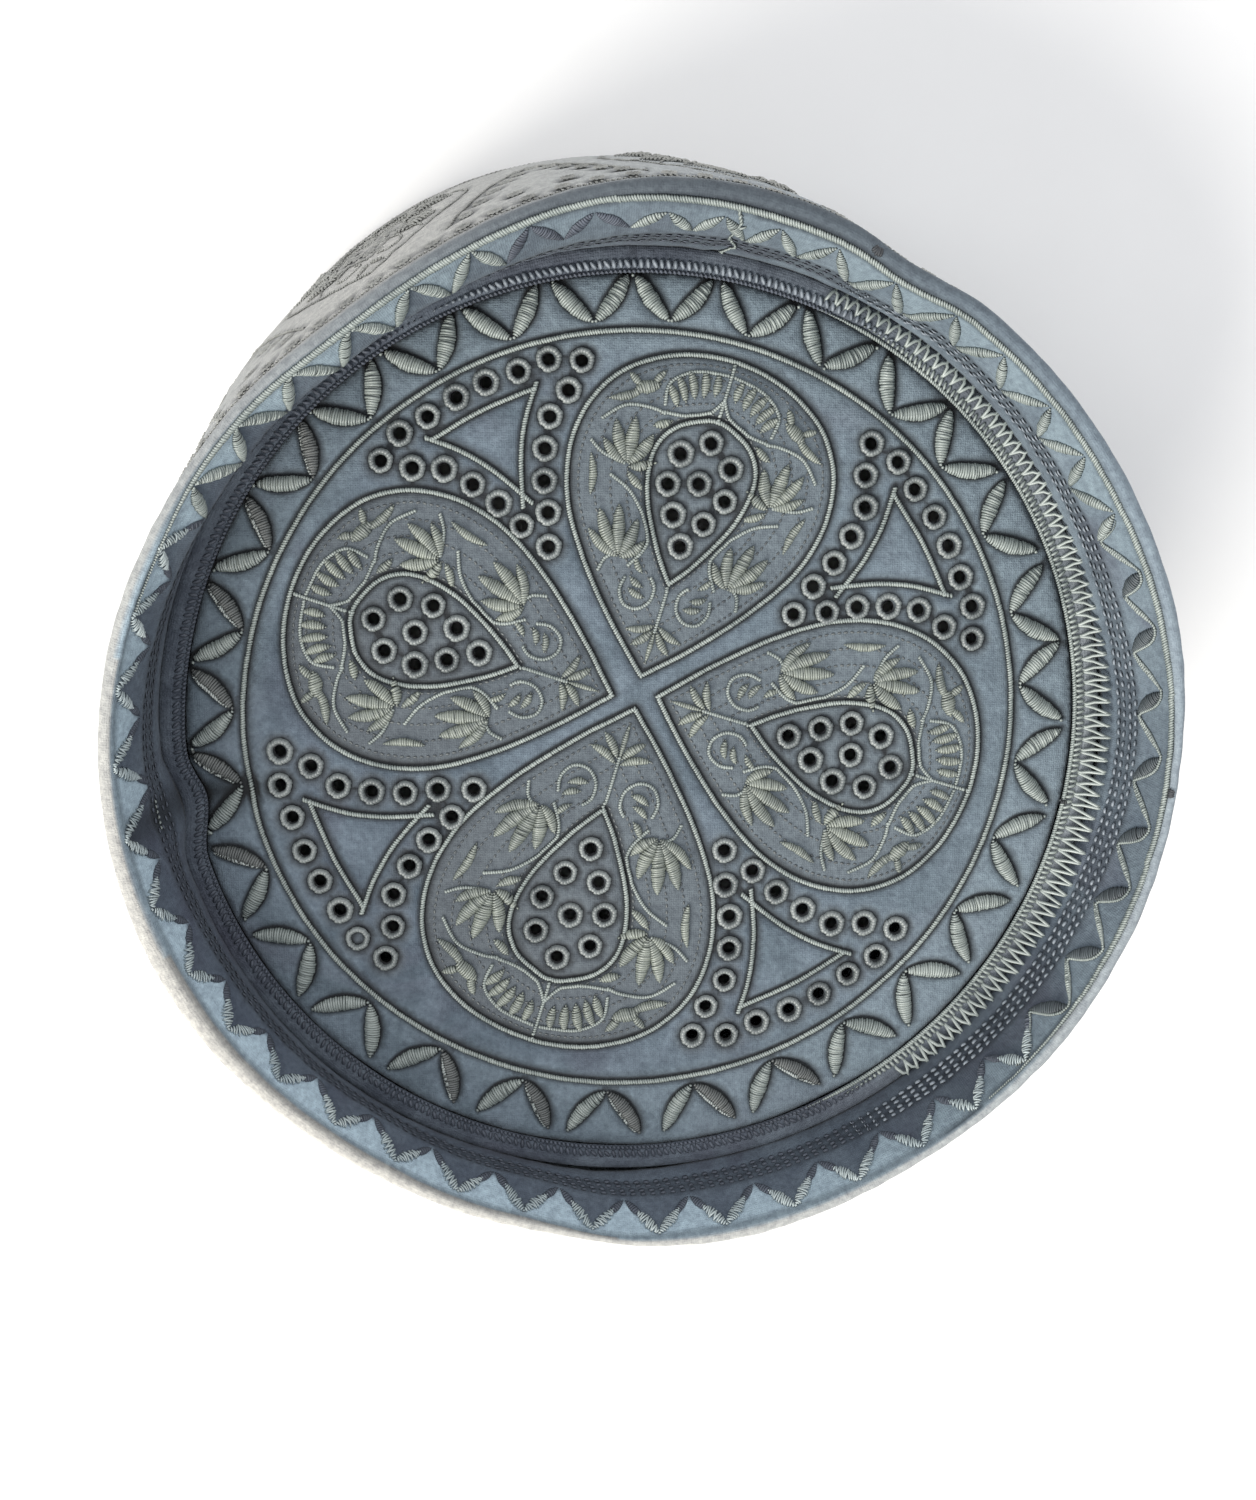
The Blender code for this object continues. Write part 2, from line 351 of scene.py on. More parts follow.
def furrow(near):
    """Share of a furrow's depth at a distance from the edge of the stitches."""
    return 1 / (1 + math.exp(7 * ((near - FURROW_FOOT) / FURROW_WIDTH - 0.55)))


def crown_relief(x, y):
    """How far the cloth stands off its smooth form, and how near a stitch is."""
    near = from_stitches(x, y)
    pull = furrow(near)
    puff = 1 - math.exp(-(max(0.0, near) / 2.2) ** 2)
    wave = noise.noise(Vector((x, y, 0.0)) * 0.055) * 0.5
    crumple = noise.noise(Vector((x, y, 7.0)) * 0.30) * 0.14
    return PUFF * puff - STITCH_PULL * pull + wave + crumple, pull


def set_out(name, data):
    """A new object in the scene, at its origin."""
    made = bpy.data.objects.new(name, data)
    bpy.context.scene.collection.objects.link(made)
    return made


def sheet_object(name, places, faces, charts, fields):
    """Cloth from 3-D places and faces, with its flat chart as UV and its fields."""
    mesh = bpy.data.meshes.new(name)
    mesh.from_pydata(places, [], faces)
    uv = mesh.uv_layers.new(name="cloth")
    for loop in mesh.loops:
        uv.data[loop.index].uv = charts[loop.vertex_index]
    for field, values in fields.items():
        mesh.attributes.new(field, "FLOAT", "POINT").data.foreach_set("value", values)
    mesh.shade_smooth()
    return set_out(name, mesh)


def as_mesh(made):
    """Replace an object by its evaluated mesh, with no modifiers left."""
    bpy.context.view_layer.update()
    evaluated = made.evaluated_get(bpy.context.evaluated_depsgraph_get())
    mesh = bpy.data.meshes.new_from_object(evaluated)
    mesh.name = name = made.name
    bpy.data.objects.remove(made, do_unlink=True)
    return set_out(name, mesh)


def lined(made, outwards):
    """Turn a sheet's faces outwards, as its lowest one shows, and give it thickness."""
    mesh = made.data
    lowest = min(mesh.polygons, key=lambda face: face.center.z)
    if lowest.normal.dot(outwards(lowest.center)) < 0:
        mesh.flip_normals()
    layers = made.modifiers.new("layers", "SOLIDIFY")
    layers.thickness = CLOTH * MM
    layers.offset = -1
    return as_mesh(made)


def fix(made, stands_for=None):
    """Fix a finished piece to the cap, in the place of a solid where it has one."""
    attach(made, "root")
    if stands_for:
        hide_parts(stands_for)
    return made


def colour(code):
    """An sRGB hex colour as linear light."""
    parts = [int(code[k:k + 2], 16) / 255 for k in (1, 3, 5)]
    return (*[c / 12.92 if c <= 0.04045 else ((c + 0.055) / 1.055) ** 2.4 for c in parts], 1.0)


def add_node(tree, kind, inputs=None, **settings):
    """One node with its settings, each input given a value or linked to an output."""
    made = tree.nodes.new(kind)
    for name, value in settings.items():
        setattr(made, name, value)
    for name, value in (inputs or {}).items():
        if isinstance(value, bpy.types.NodeSocket):
            tree.links.new(value, made.inputs[name])
        else:
            made.inputs[name].default_value = value
    return made


def new_material(name, constants):
    """A material with its nodes and its shader, the constants set on the shader."""
    made = bpy.data.materials.new(name)
    made.use_nodes = True
    shader = made.node_tree.nodes["Principled BSDF"]
    for socket, value in constants.items():
        shader.inputs[socket].default_value = value
    return made, made.node_tree, shader


WEAVE_PITCH = 0.42           # from thread to thread
WAVE_PERIOD = 0.314          # of a wave texture at a scale of 1
STAIN = "#4d4f5c"
FRONT_SHARE = 0.6            # how far the cloth turns to its tone at the front left


def washed_cotton(name, faded, deep, ground, shade, worn_and_lit, front=("#000000",) * 3):
    """Indigo-dyed cotton, garment washed, plain woven.

    Washing leaves the dye cloudy, and the dry weave has no shine of its own.
    Painted shade darkens it beside the stitches, in creases and in hollows,
    and a paler tone stands for rubbing and for painted light. front gives the
    cloth, its ground and its paler tone where it looks front left: painted
    shade on the cloth there, painted light on its ground and paler tone.
    """
    made, tree, shader = new_material(name, {
        "Roughness": 0.9, "IOR": 1.45, "Sheen Weight": 0.06, "Sheen Roughness": 0.5,
    })
    places = add_node(tree, "ShaderNodeTexCoord").outputs["Object"]
    chart = add_node(tree, "ShaderNodeUVMap", uv_map="cloth").outputs["UV"]
    # Clouds of dye 14 mm across, specks of 1.3 mm and stains of 34 mm.
    noises = [
        add_node(tree, "ShaderNodeTexNoise", {
            "Vector": places, "Scale": 1 / (size * MM), "Detail": detail,
            "Roughness": rough, "Distortion": swirl,
        }).outputs["Fac"]
        for size, detail, rough, swirl in (
            (14, 5.0, 0.6, 0.9), (1.3, 4.0, 0.75, 0.0), (34, 3.0, 0.5, 1.4),
        )
    ]
    clouds, specks, stains = [
        add_node(tree, "ShaderNodeMapRange", {
            "Value": value, "From Min": low, "From Max": high,
        }).outputs[0]
        for value, (low, high) in zip(noises, ((0.36, 0.64), (0.33, 0.68), (0.52, 0.78)))
    ]
    turned, bare, rubbed_and_lit, painted_shade_share = [
        add_node(tree, "ShaderNodeAttribute", attribute_name=field).outputs["Fac"]
        for field in ("front", "ground", "wear", "stitch_shade")
    ]
    partly = add_node(tree, "ShaderNodeMath", {0: turned, 1: FRONT_SHARE}, operation="MULTIPLY")
    bare_tone, rubbed_and_lit_tone = [
        add_node(tree, "ShaderNodeMix", {
            0: turned, 6: colour(back_tone), 7: colour(front_tone),
        }, data_type="RGBA").outputs[2]
        for back_tone, front_tone in ((ground, front[1]), (worn_and_lit, front[2]))
    ]
    tone = colour(deep)
    for share, over in (
        (clouds, colour(faded)), (stains, colour(STAIN)), (partly.outputs[0], colour(front[0])),
        (bare, bare_tone), (rubbed_and_lit, rubbed_and_lit_tone), (painted_shade_share, colour(shade)),
    ):
        tone = add_node(
            tree, "ShaderNodeMix", {0: share, 6: tone, 7: over}, data_type="RGBA"
        ).outputs[2]
    speckled = add_node(tree, "ShaderNodeMix", {
        0: specks, 6: (0.74, 0.74, 0.76, 1.0), 7: (1.22, 1.22, 1.20, 1.0),
    }, data_type="RGBA")
    tone = add_node(tree, "ShaderNodeMix", {
        0: 1.0, 6: tone, 7: speckled.outputs[2],
    }, data_type="RGBA", blend_type="MULTIPLY").outputs[2]
    # Plain weave, uneven as hand-washed cotton.
    threads = [
        add_node(tree, "ShaderNodeTexWave", {
            "Vector": chart, "Scale": WAVE_PERIOD / WEAVE_PITCH, "Distortion": 3.0,
            "Detail": 1.0, "Detail Scale": 1.2,
        }, bands_direction=way).outputs["Fac"]
        for way in ("X", "Y")
    ]
    weave = add_node(tree, "ShaderNodeMath", {0: threads[0], 1: threads[1]})
    height = add_node(tree, "ShaderNodeMath", {
        0: noises[1], 1: 14.0, 2: weave.outputs[0],
    }, operation="MULTIPLY_ADD")
    bump = add_node(tree, "ShaderNodeBump", {
        "Strength": 0.7, "Distance": 0.035 * MM, "Height": height.outputs[0],
    })
    tree.links.new(tone, shader.inputs["Base Color"])
    tree.links.new(bump.outputs["Normal"], shader.inputs["Normal"])
    return made


def crown_points():
    """Points of the cloth: its edge, the eyelets, both sides of each furrow, then a grid."""
    turns = [k * 360 / EDGE_POINTS for k in range(EDGE_POINTS)]
    points = [polar(turn, crown_radius(turn)) for turn in turns]
    loops = [list(range(EDGE_POINTS))]
    for x, y, pierced in eyelets_of_crown:
        for radius in (EYELET_HOLE, EYELET_RING) if pierced else (EYELET_RING,):
            if radius == EYELET_HOLE:
                loops.append(list(range(len(points), len(points) + HOLE_SIDES)))
            points += [polar(360 * k / HOLE_SIDES, radius, (x, y)) for k in range(HOLE_SIDES)]
    shoulders = []
    for _, line, closed in lines_of_crown:
        for extra in (FURROW_FOOT, FURROW_WIDTH):
            for sign in (1, -1):
                shoulders += beside(line, closed, [sign * (CORD_WIDTH + extra)] * len(line))
    for leaf in border_leaves:
        widths = leaf_widths(len(leaf), BORDER_LEAF)
        for extra in (FURROW_FOOT, FURROW_WIDTH):
            for sign in (-1, 1):
                shoulders += beside(leaf, False, [sign * (width + extra) for width in widths])
    taken = tree_of(points)
    points += [
        point for point in shoulders if taken.find((*point, 0.0))[2] > 0.3 and is_crown(*point)
    ]
    taken = tree_of(points)
    reach = CROWN_RADIUS + 3
    for row in range(int(2 * reach / (CROWN_GRID * GRID_ROW)) + 1):
        y = CROWN_CENTRE[1] - reach + row * CROWN_GRID * GRID_ROW
        for column in range(int(2 * reach / CROWN_GRID) + 1):
            x = CROWN_CENTRE[0] - reach + (column + 0.5 * (row % 2)) * CROWN_GRID
            if is_crown(x, y) and taken.find((x, y, 0.0))[2] > 0.62 * CROWN_GRID:
                points.append((x, y))
    return points, loops


def build_crown_cloth():
    points, faces = flat_cloth(*crown_points(), is_crown)
    places, shades, grounds, wears = [], [], [], []
    for x, y in points:
        relief, pull = crown_relief(x, y)
        edge = max(0.0, from_edge(x, y))
        tuck = 0.5 * math.exp(-(edge / 1.1) ** 2)
        places.append(on_crown(x, y, relief - tuck))
        ring = rings_of_crown.find((x, y, 0.0))[2]
        in_drop = any(inside((x, y), drop) for drop in drop_rings)
        grounds.append(1.0 if in_drop else 0.7 * held((4.2 - ring) / 1.4))
        angle, _ = from_centre(x, y)
        # Painted shade in the crease at the left, near the edge.
        fold = dented(CREASE_SHADE, angle) * held((13.0 - edge) / 4.0)
        # Painted shade lies in the furrows beside the stitches, most on the side away from the
        # light, and along the crown's edge by the seam.
        painted_furrow_shade = 0.35 * pull + 0.6 * furrow(from_stitches(x - 0.34, y - 0.26))
        shades.append(min(1.0, painted_furrow_shade + 0.4 * math.exp(-(edge / 0.9) ** 2) + fold))
        # Painted light: the cloth is paler towards the right and the back, and paler near its edge.
        border = held(0.35 - 0.08 * (edge - 11), 0.0, 0.35)
        wears.append(held(0.22 + (x + 0.5 * y) / 300 + border, 0.0, 0.7))
    made = sheet_object("crown_cloth", places, faces, points, {
        "stitch_shade": shades, "ground": grounds, "wear": wears,
    })
    made = lined(made, lambda _: Vector((0.0, 0.0, 1.0)))
    # The darkest colour is its painted shade, and the palest its painted light.
    made.data.materials.append(washed_cotton(
        "washed_indigo_cotton", faded="#64707b", deep="#48545e", ground="#555b60",
        shade="#1a1c1e", worn_and_lit="#7b8991",
    ))
    return made


crown_cloth = fix(build_crown_cloth(), "crown_disc")

# The cords: fine lines of slanted satin stitch in a soft cotton thread, worked
# by machine over the drawn pattern. They bind the ring, the drops and the
# triangles, and the plant stems that wind through each drop.

STEM_WIDTH = 0.42
STEM_STEP = 0.8

Path = namedtuple("Path", "points widths closed")

# Stems of one drop's right half, in its chart.
DROP_STEMS = (
    ((61.6, 0.7), (60.5, 6.7), (57.3, 10.6), (53.2, 10.4)),
    ((51.8, 10.0), (52.3, 6.1), (53.8, 2.2), (57.0, 0.0)),
    ((47.5, 20.8), (51.0, 17.3), (51.9, 12.6), (51.6, 10.0)),
    ((38.0, 16.3), (36.2, 12.1), (32.8, 8.6), (29.3, 6.4), (26.4, 6.5), (23.0, 8.4)),
    ((21.8, 3.6), (20.4, 2.5), (17.6, 2.6), (15.6, 4.6), (15.8, 7.2), (18.2, 8.7), (20.6, 8.4)),
    ((24.3, 11.6), (23.0, 13.0), (20.6, 13.6)),
    ((43.0, 21.6), (41.4, 18.8), (40.8, 14.6)),
)
DROP_AXIS = (((52.9, 0.0), (64.0, 0.0)), ((21.7, 0.0), (12.4, 0.0)))


def drop_stems(step):
    """The stems of a drop in its chart, left and right of the axis."""
    for stem in DROP_STEMS:
        for sign in (-1, 1):
            yield smooth_line([(out, side * sign) for out, side in stem], step)


def tool_object(name, shape):
    """One stitch as an object, for the node trees to repeat."""
    mesh = bpy.data.meshes.new(name)
    shape.to_mesh(mesh)
    shape.free()
    mesh.shade_smooth()
    return set_out(name, mesh)


def stitch_shape(name, spine, ridge=0.25, taper=0.35, ends=-0.15):
    """One thread laid over the cloth: unit half length along X, width along Y."""
    shape = bmesh.new()
    start, end = [shape.verts.new((x, 0.0, ends)) for x in (-1.0, 1.0)]
    rings = []
    for x, rise in spine:
        half = 0.5 * (1 - taper * abs(x))
        corners = ((-half, rise - ridge), (half, rise - ridge), (0.0, rise))
        rings.append([shape.verts.new((x, *corner)) for corner in corners])
    for near, far in zip(rings, rings[1:]):
        for k in range(3):
            after = (k + 1) % 3
            shape.faces.new((near[k], near[after], far[after], far[k]))
    for k in range(3):
        after = (k + 1) % 3
        shape.faces.new((start, rings[0][after], rings[0][k]))
        shape.faces.new((end, rings[-1][k], rings[-1][after]))
    bmesh.ops.recalc_face_normals(shape, faces=shape.faces)
    return tool_object(name, shape)


def open_tree(name, inputs):
    """A node tree with named inputs, and its group of given values."""
    tree = bpy.data.node_groups.new(name, "GeometryNodeTree")
    tree.is_modifier = True
    for kind, names in inputs.items():
        for socket in names:
            tree.interface.new_socket(socket, in_out="INPUT", socket_type="NodeSocket" + kind)
    tree.interface.new_socket("Geometry", in_out="OUTPUT", socket_type="NodeSocketGeometry")
    return tree, add_node(tree, "NodeGroupInput").outputs


def close_tree(tree, laid, material):
    """End a tree: the laid stitches made real, in their own thread."""
    solid = add_node(tree, "GeometryNodeRealizeInstances", {"Geometry": laid})
    dressed = add_node(tree, "GeometryNodeSetMaterial", {
        "Geometry": solid.outputs[0], "Material": material,
    })
    add_node(tree, "NodeGroupOutput", {"Geometry": dressed.outputs[0]})
    return tree


def satin_tree():
    """Nodes that lay threads side by side across a path and seat them on cloth."""
    tree, given = open_tree("threads_across_a_path", {
        "Geometry": ("Geometry",), "Object": ("Cloth", "Stitch"),
        "Float": ("Pitch", "Thread", "Rise", "Rise By Width", "Slant", "Wander"),
        "Int": ("Seed",), "Material": ("Material",),
    })
    spaced = add_node(tree, "GeometryNodeResampleCurve", {
        "Curve": given["Geometry"], "Length": given["Pitch"],
    }, mode="LENGTH")
    cloth = add_node(tree, "GeometryNodeObjectInfo", {"Object": given["Cloth"]})
    normal, place, tangent, width = [
        add_node(tree, "GeometryNodeInput" + kind).outputs[0]
        for kind in ("Normal", "Position", "Tangent", "Radius")
    ]
    up, seat = [
        add_node(tree, "GeometryNodeSampleNearestSurface", {
            "Mesh": cloth.outputs["Geometry"], "Value": value,
        }, data_type="FLOAT_VECTOR").outputs[0]
        for value in (normal, place)
    ]
    upright = add_node(tree, "FunctionNodeAlignRotationToVector", {"Vector": up}, axis="Z")
    along = add_node(tree, "FunctionNodeAlignRotationToVector", {
        "Rotation": upright.outputs[0], "Vector": tangent,
    }, axis="Y", pivot_axis="Z")
    # Each thread's own turn, length, width, height and tint.
    chances = []
    for low, high in ((-1.0, 1.0), (0.93, 1.07), (0.9, 1.1), (0.86, 1.14), (0.0, 1.0)):
        seed = add_node(tree, "ShaderNodeMath", {0: given["Seed"], 1: len(chances) + 1.0})
        chances.append(add_node(tree, "FunctionNodeRandomValue", {
            2: low, 3: high, "Seed": seed.outputs[0],
        }).outputs[1])
    rise = add_node(tree, "ShaderNodeMath", {
        0: width, 1: given["Rise By Width"], 2: given["Rise"],
    }, operation="MULTIPLY_ADD").outputs[0]
    swing, *size = [
        add_node(tree, "ShaderNodeMath", {0: value, 1: chance}, operation="MULTIPLY").outputs[0]
        for value, chance in zip((given["Wander"], width, given["Thread"], rise), chances)
    ]
    lean = add_node(tree, "ShaderNodeMath", {0: given["Slant"], 1: swing})
    turn = add_node(tree, "FunctionNodeAxisAngleToRotation", {
        "Axis": (0.0, 0.0, 1.0), "Angle": lean.outputs[0],
    })
    turned = add_node(tree, "FunctionNodeRotateRotation", {
        "Rotation": along.outputs[0], "Rotate By": turn.outputs[0],
    }, rotation_space="LOCAL")
    thread = add_node(tree, "GeometryNodeObjectInfo", {"Object": given["Stitch"]})
    seated = add_node(tree, "GeometryNodeSetPosition", {
        "Geometry": spaced.outputs[0], "Position": seat,
    })
    laid = add_node(tree, "GeometryNodeInstanceOnPoints", {
        "Points": seated.outputs[0], "Instance": thread.outputs["Geometry"],
        "Rotation": turned.outputs[0],
        "Scale": add_node(tree, "ShaderNodeCombineXYZ", dict(enumerate(size))).outputs[0],
    })
    tinted = add_node(tree, "GeometryNodeStoreNamedAttribute", {
        "Geometry": laid.outputs[0], "Name": "thread_tint", "Value": chances[-1],
    }, data_type="FLOAT", domain="INSTANCE")
    return close_tree(tree, tinted.outputs[0], given["Material"])


def curve_object(name, paths):
    """The paths as one curve object, each point's radius its half width."""
    data = bpy.data.curves.new(name, "CURVE")
    data.dimensions = "3D"
    for path in paths:
        spline = data.splines.new("POLY")
        spline.points.add(len(path.points) - 1)
        for point, place, width in zip(spline.points, path.points, path.widths):
            point.co = (*place, 1.0)
            point.radius = width * MM
        spline.use_cyclic_u = path.closed
    return set_out(name, data)


def set_inputs(modifier, tree, values):
    """Give a nodes modifier its inputs, found by the socket's identifier."""
    modifier.node_group = tree
    for item in tree.interface.items_tree:
        if item.item_type == "SOCKET" and item.in_out == "INPUT" and item.name in values:
            modifier[item.identifier] = values[item.name]


def stitch(
    name, paths, cloth, material, seed=3, tool=None, pitch=0.46, thread=0.60, rise=0.36,
    rise_by_width=0.0, slant=0.0, wander=0.06,
):
    """Work threads over the paths: from one to the next, each one's width and height."""
    made = curve_object(name, paths)
    set_inputs(made.modifiers.new("stitches", "NODES"), threads_across, {
        "Cloth": cloth, "Stitch": tool or plain_stitch, "Pitch": pitch * MM,
        "Thread": thread * MM, "Rise": rise * MM, "Rise By Width": rise_by_width,
        "Slant": slant, "Wander": wander, "Seed": seed, "Material": material,
    })
    return fix(as_mesh(made))


def cotton_thread(name, light, dark, roughness=0.42):
    """Two-ply mercerised cotton embroidery thread, washed with the cap.

    Side by side the threads catch the light along their length, so a leaf
    looks pale from one side and dull from the other. Its tone varies a little.
    """
    made, tree, shader = new_material(name, {
        "Roughness": roughness, "IOR": 1.53, "Specular IOR Level": 0.85,
    })
    places = add_node(tree, "ShaderNodeTexCoord").outputs["Object"]
    # Dirt in clouds of 9 mm, and fibres of a quarter of a millimetre.
    clouds, fibres = [
        add_node(tree, "ShaderNodeTexNoise", {
            "Vector": places, "Scale": 1 / (size * MM), "Detail": 2.0,
        }).outputs["Fac"]
        for size in (9, 0.25)
    ]
    dirt = add_node(tree, "ShaderNodeMapRange", {
        "Value": clouds, "From Min": 0.40, "From Max": 0.85,
    })
    tint = add_node(tree, "ShaderNodeAttribute", attribute_name="thread_tint")
    share = add_node(tree, "ShaderNodeMath", {
        0: tint.outputs["Fac"], 1: 0.3, 2: dirt.outputs[0],
    }, operation="MULTIPLY_ADD")
    tone = add_node(tree, "ShaderNodeMix", {
        0: share.outputs[0], 6: colour(light), 7: colour(dark),
    }, data_type="RGBA")
    bump = add_node(tree, "ShaderNodeBump", {
        "Strength": 0.35, "Distance": 0.06 * MM, "Height": fibres,
    })
    tree.links.new(tone.outputs[2], shader.inputs["Base Color"])
    tree.links.new(bump.outputs["Normal"], shader.inputs["Normal"])
    return made


def crown_path(flat, width, closed=False, tips=False):
    """Path on the crown, of even width or tapering to its tips as a leaf does."""
    widths = leaf_widths(len(flat), width) if tips else [width] * len(flat)
    return Path([on_crown(x, y, 0.5) for x, y in flat], widths, closed)


plain_stitch = stitch_shape("plain_stitch", ((-0.66, 0.80), (0.0, 1.0), (0.66, 0.80)))
padded_stitch = stitch_shape(
    "padded_stitch", ((-0.88, 0.42), (-0.5, 0.86), (0.0, 1.0), (0.5, 0.86), (0.88, 0.42)),
    ridge=0.11, taper=0.1,
)
threads_across = satin_tree()
pale_thread = cotton_thread("pale_cotton_thread", "#98a09b", "#737c79")

cord_paths = [
    crown_path(line, 0.58 if name == "ring" else CORD_WIDTH, closed)
    for name, line, closed in lines_of_crown
]
for motif in DROPS:
    stems = [*drop_stems(STEM_STEP), *[smooth_line(stem, STEM_STEP) for stem in DROP_AXIS]]
    cord_paths += [
        crown_path([in_motif(motif, *point) for point in stem], STEM_WIDTH) for stem in stems
    ]
stitch("crown_cords", cord_paths, crown_cloth, pale_thread, rise=0.50, slant=0.42)

# The eyelets: each is punched with an awl and bound round with close buttonhole
# stitches, which stand up as a pale ring and run down inside the hole.

EYELET_STITCHES = 20
RING_SEED = 21


def binding_shape(name, profile, stitches):
    """One binding stitch, from the ring's outer edge over and down the hole."""
    shape = bmesh.new()
    half_turn = math.pi / stitches * 1.02
    rows = [
        [
            shape.verts.new([part * MM for part in (
                radius * math.cos(side * half_turn), radius * math.sin(side * half_turn),
                height - 0.16 * abs(side),
            )])
            for side in (-1, 0, 1)
        ]
        for radius, height in profile
    ]
    for near, far in zip(rows, rows[1:]):
        for k in range(2):
            shape.faces.new((near[k], near[k + 1], far[k + 1], far[k]))
    return tool_object(name, shape)


def ring_tree():
    """Nodes that bind a ring of stitches round every point, square to the cloth."""
    tree, given = open_tree("bound_eyelets", {
        "Geometry": ("Geometry",), "Object": ("Stitch",), "Int": ("Stitches", "Seed"),
        "Material": ("Material",),
    })
    thread = add_node(tree, "GeometryNodeObjectInfo", {"Object": given["Stitch"]})
    rays = add_node(tree, "GeometryNodeMeshLine", {
        "Count": given["Stitches"], "Offset": (0.0, 0.0, 0.0),
    })
    index = add_node(tree, "GeometryNodeInputIndex").outputs[0]
    share = add_node(tree, "ShaderNodeMath", {0: index, 1: given["Stitches"]}, operation="DIVIDE")
    turn = add_node(tree, "ShaderNodeMath", {
        0: share.outputs[0], 1: 2 * math.pi,
    }, operation="MULTIPLY")
    spin = add_node(tree, "ShaderNodeCombineXYZ", {"Z": turn.outputs[0]})
    wobble, spread = [
        add_node(tree, "FunctionNodeRandomValue", {2: low, 3: high, "Seed": seed}).outputs[1]
        for low, high, seed in ((0.94, 1.07, given["Seed"]), (0.95, 1.06, RING_SEED))
    ]
    ring = add_node(tree, "GeometryNodeInstanceOnPoints", {
        "Points": rays.outputs[0], "Instance": thread.outputs["Geometry"],
        "Rotation": spin.outputs[0], "Scale": wobble,
    })
    tinted = add_node(tree, "GeometryNodeStoreNamedAttribute", {
        "Geometry": ring.outputs[0], "Name": "thread_tint", "Value": wobble,
    }, data_type="FLOAT", domain="INSTANCE")
    whole = add_node(tree, "GeometryNodeRealizeInstances", {"Geometry": tinted.outputs[0]})
    up = add_node(tree, "GeometryNodeInputNamedAttribute", {"Name": "up"}, data_type="FLOAT_VECTOR")
    upright = add_node(tree, "FunctionNodeAlignRotationToVector", {
        "Vector": up.outputs[0],
    }, axis="Z")
    rings = add_node(tree, "GeometryNodeInstanceOnPoints", {
        "Points": given["Geometry"], "Instance": whole.outputs[0],
        "Rotation": upright.outputs[0], "Scale": spread,
    })
    return close_tree(tree, rings.outputs[0], given["Material"])


def bind_eyelets(name, places, ups, tool, stitches, material):
    """Bound rings at the places, square to the cloth: a finished mesh piece."""
    mesh = bpy.data.meshes.new(name)
    mesh.from_pydata(places, [], [])
    facing = mesh.attributes.new("up", "FLOAT_VECTOR", "POINT")
    facing.data.foreach_set("vector", [part for up in ups for part in up])
    made = set_out(name, mesh)
    set_inputs(made.modifiers.new("rings", "NODES"), bound_rings, {
        "Stitch": tool, "Stitches": stitches, "Seed": 5, "Material": material,
    })
    return fix(as_mesh(made))


def crown_up(x, y):
    """Upward direction of the crown's smooth face."""
    step = 1.0
    slope_x = (crown_height(x + step, y) - crown_height(x - step, y)) / (2 * step)
    slope_y = (crown_height(x, y + step) - crown_height(x, y - step)) / (2 * step)
    return Vector((-slope_x, -slope_y, 1.0)).normalized()


EYELET_PROFILE = (
    (EYELET_RING, -0.15), (2.12, 0.24), (1.78, 0.44), (1.44, 0.28), (1.24, -0.3), (1.14, -1.1),
)
binding_stitch = binding_shape("binding_stitch", EYELET_PROFILE, EYELET_STITCHES)
bound_rings = ring_tree()
eyelet_thread = cotton_thread("eyelet_cotton_thread", "#878d8b", "#565c5c")
bind_eyelets(
    "eyelet_rings", [on_crown(x, y) for x, y, _ in eyelets_of_crown],
    [crown_up(x, y) for x, y, _ in eyelets_of_crown], binding_stitch, EYELET_STITCHES,
    eyelet_thread,
)

# The leaves of the crown: raised satin stitch in the same cotton. Thirty pairs
# make its border, and each drop holds four five-leaved sprigs, two fans of
# leaflets, two buds and a small plant at its tip.

# The border leaves at the front left that slope to the right are drawn in painted shade.
SHADED_FROM, SHADED_TO = 150, 325
SHADED_LEAN = 1.15           # how steeply a leaf slopes to the right to be drawn in painted shade
SATIN = {"tool": padded_stitch, "pitch": 0.44}
Leaf = namedtuple("Leaf", "base tip width bow")
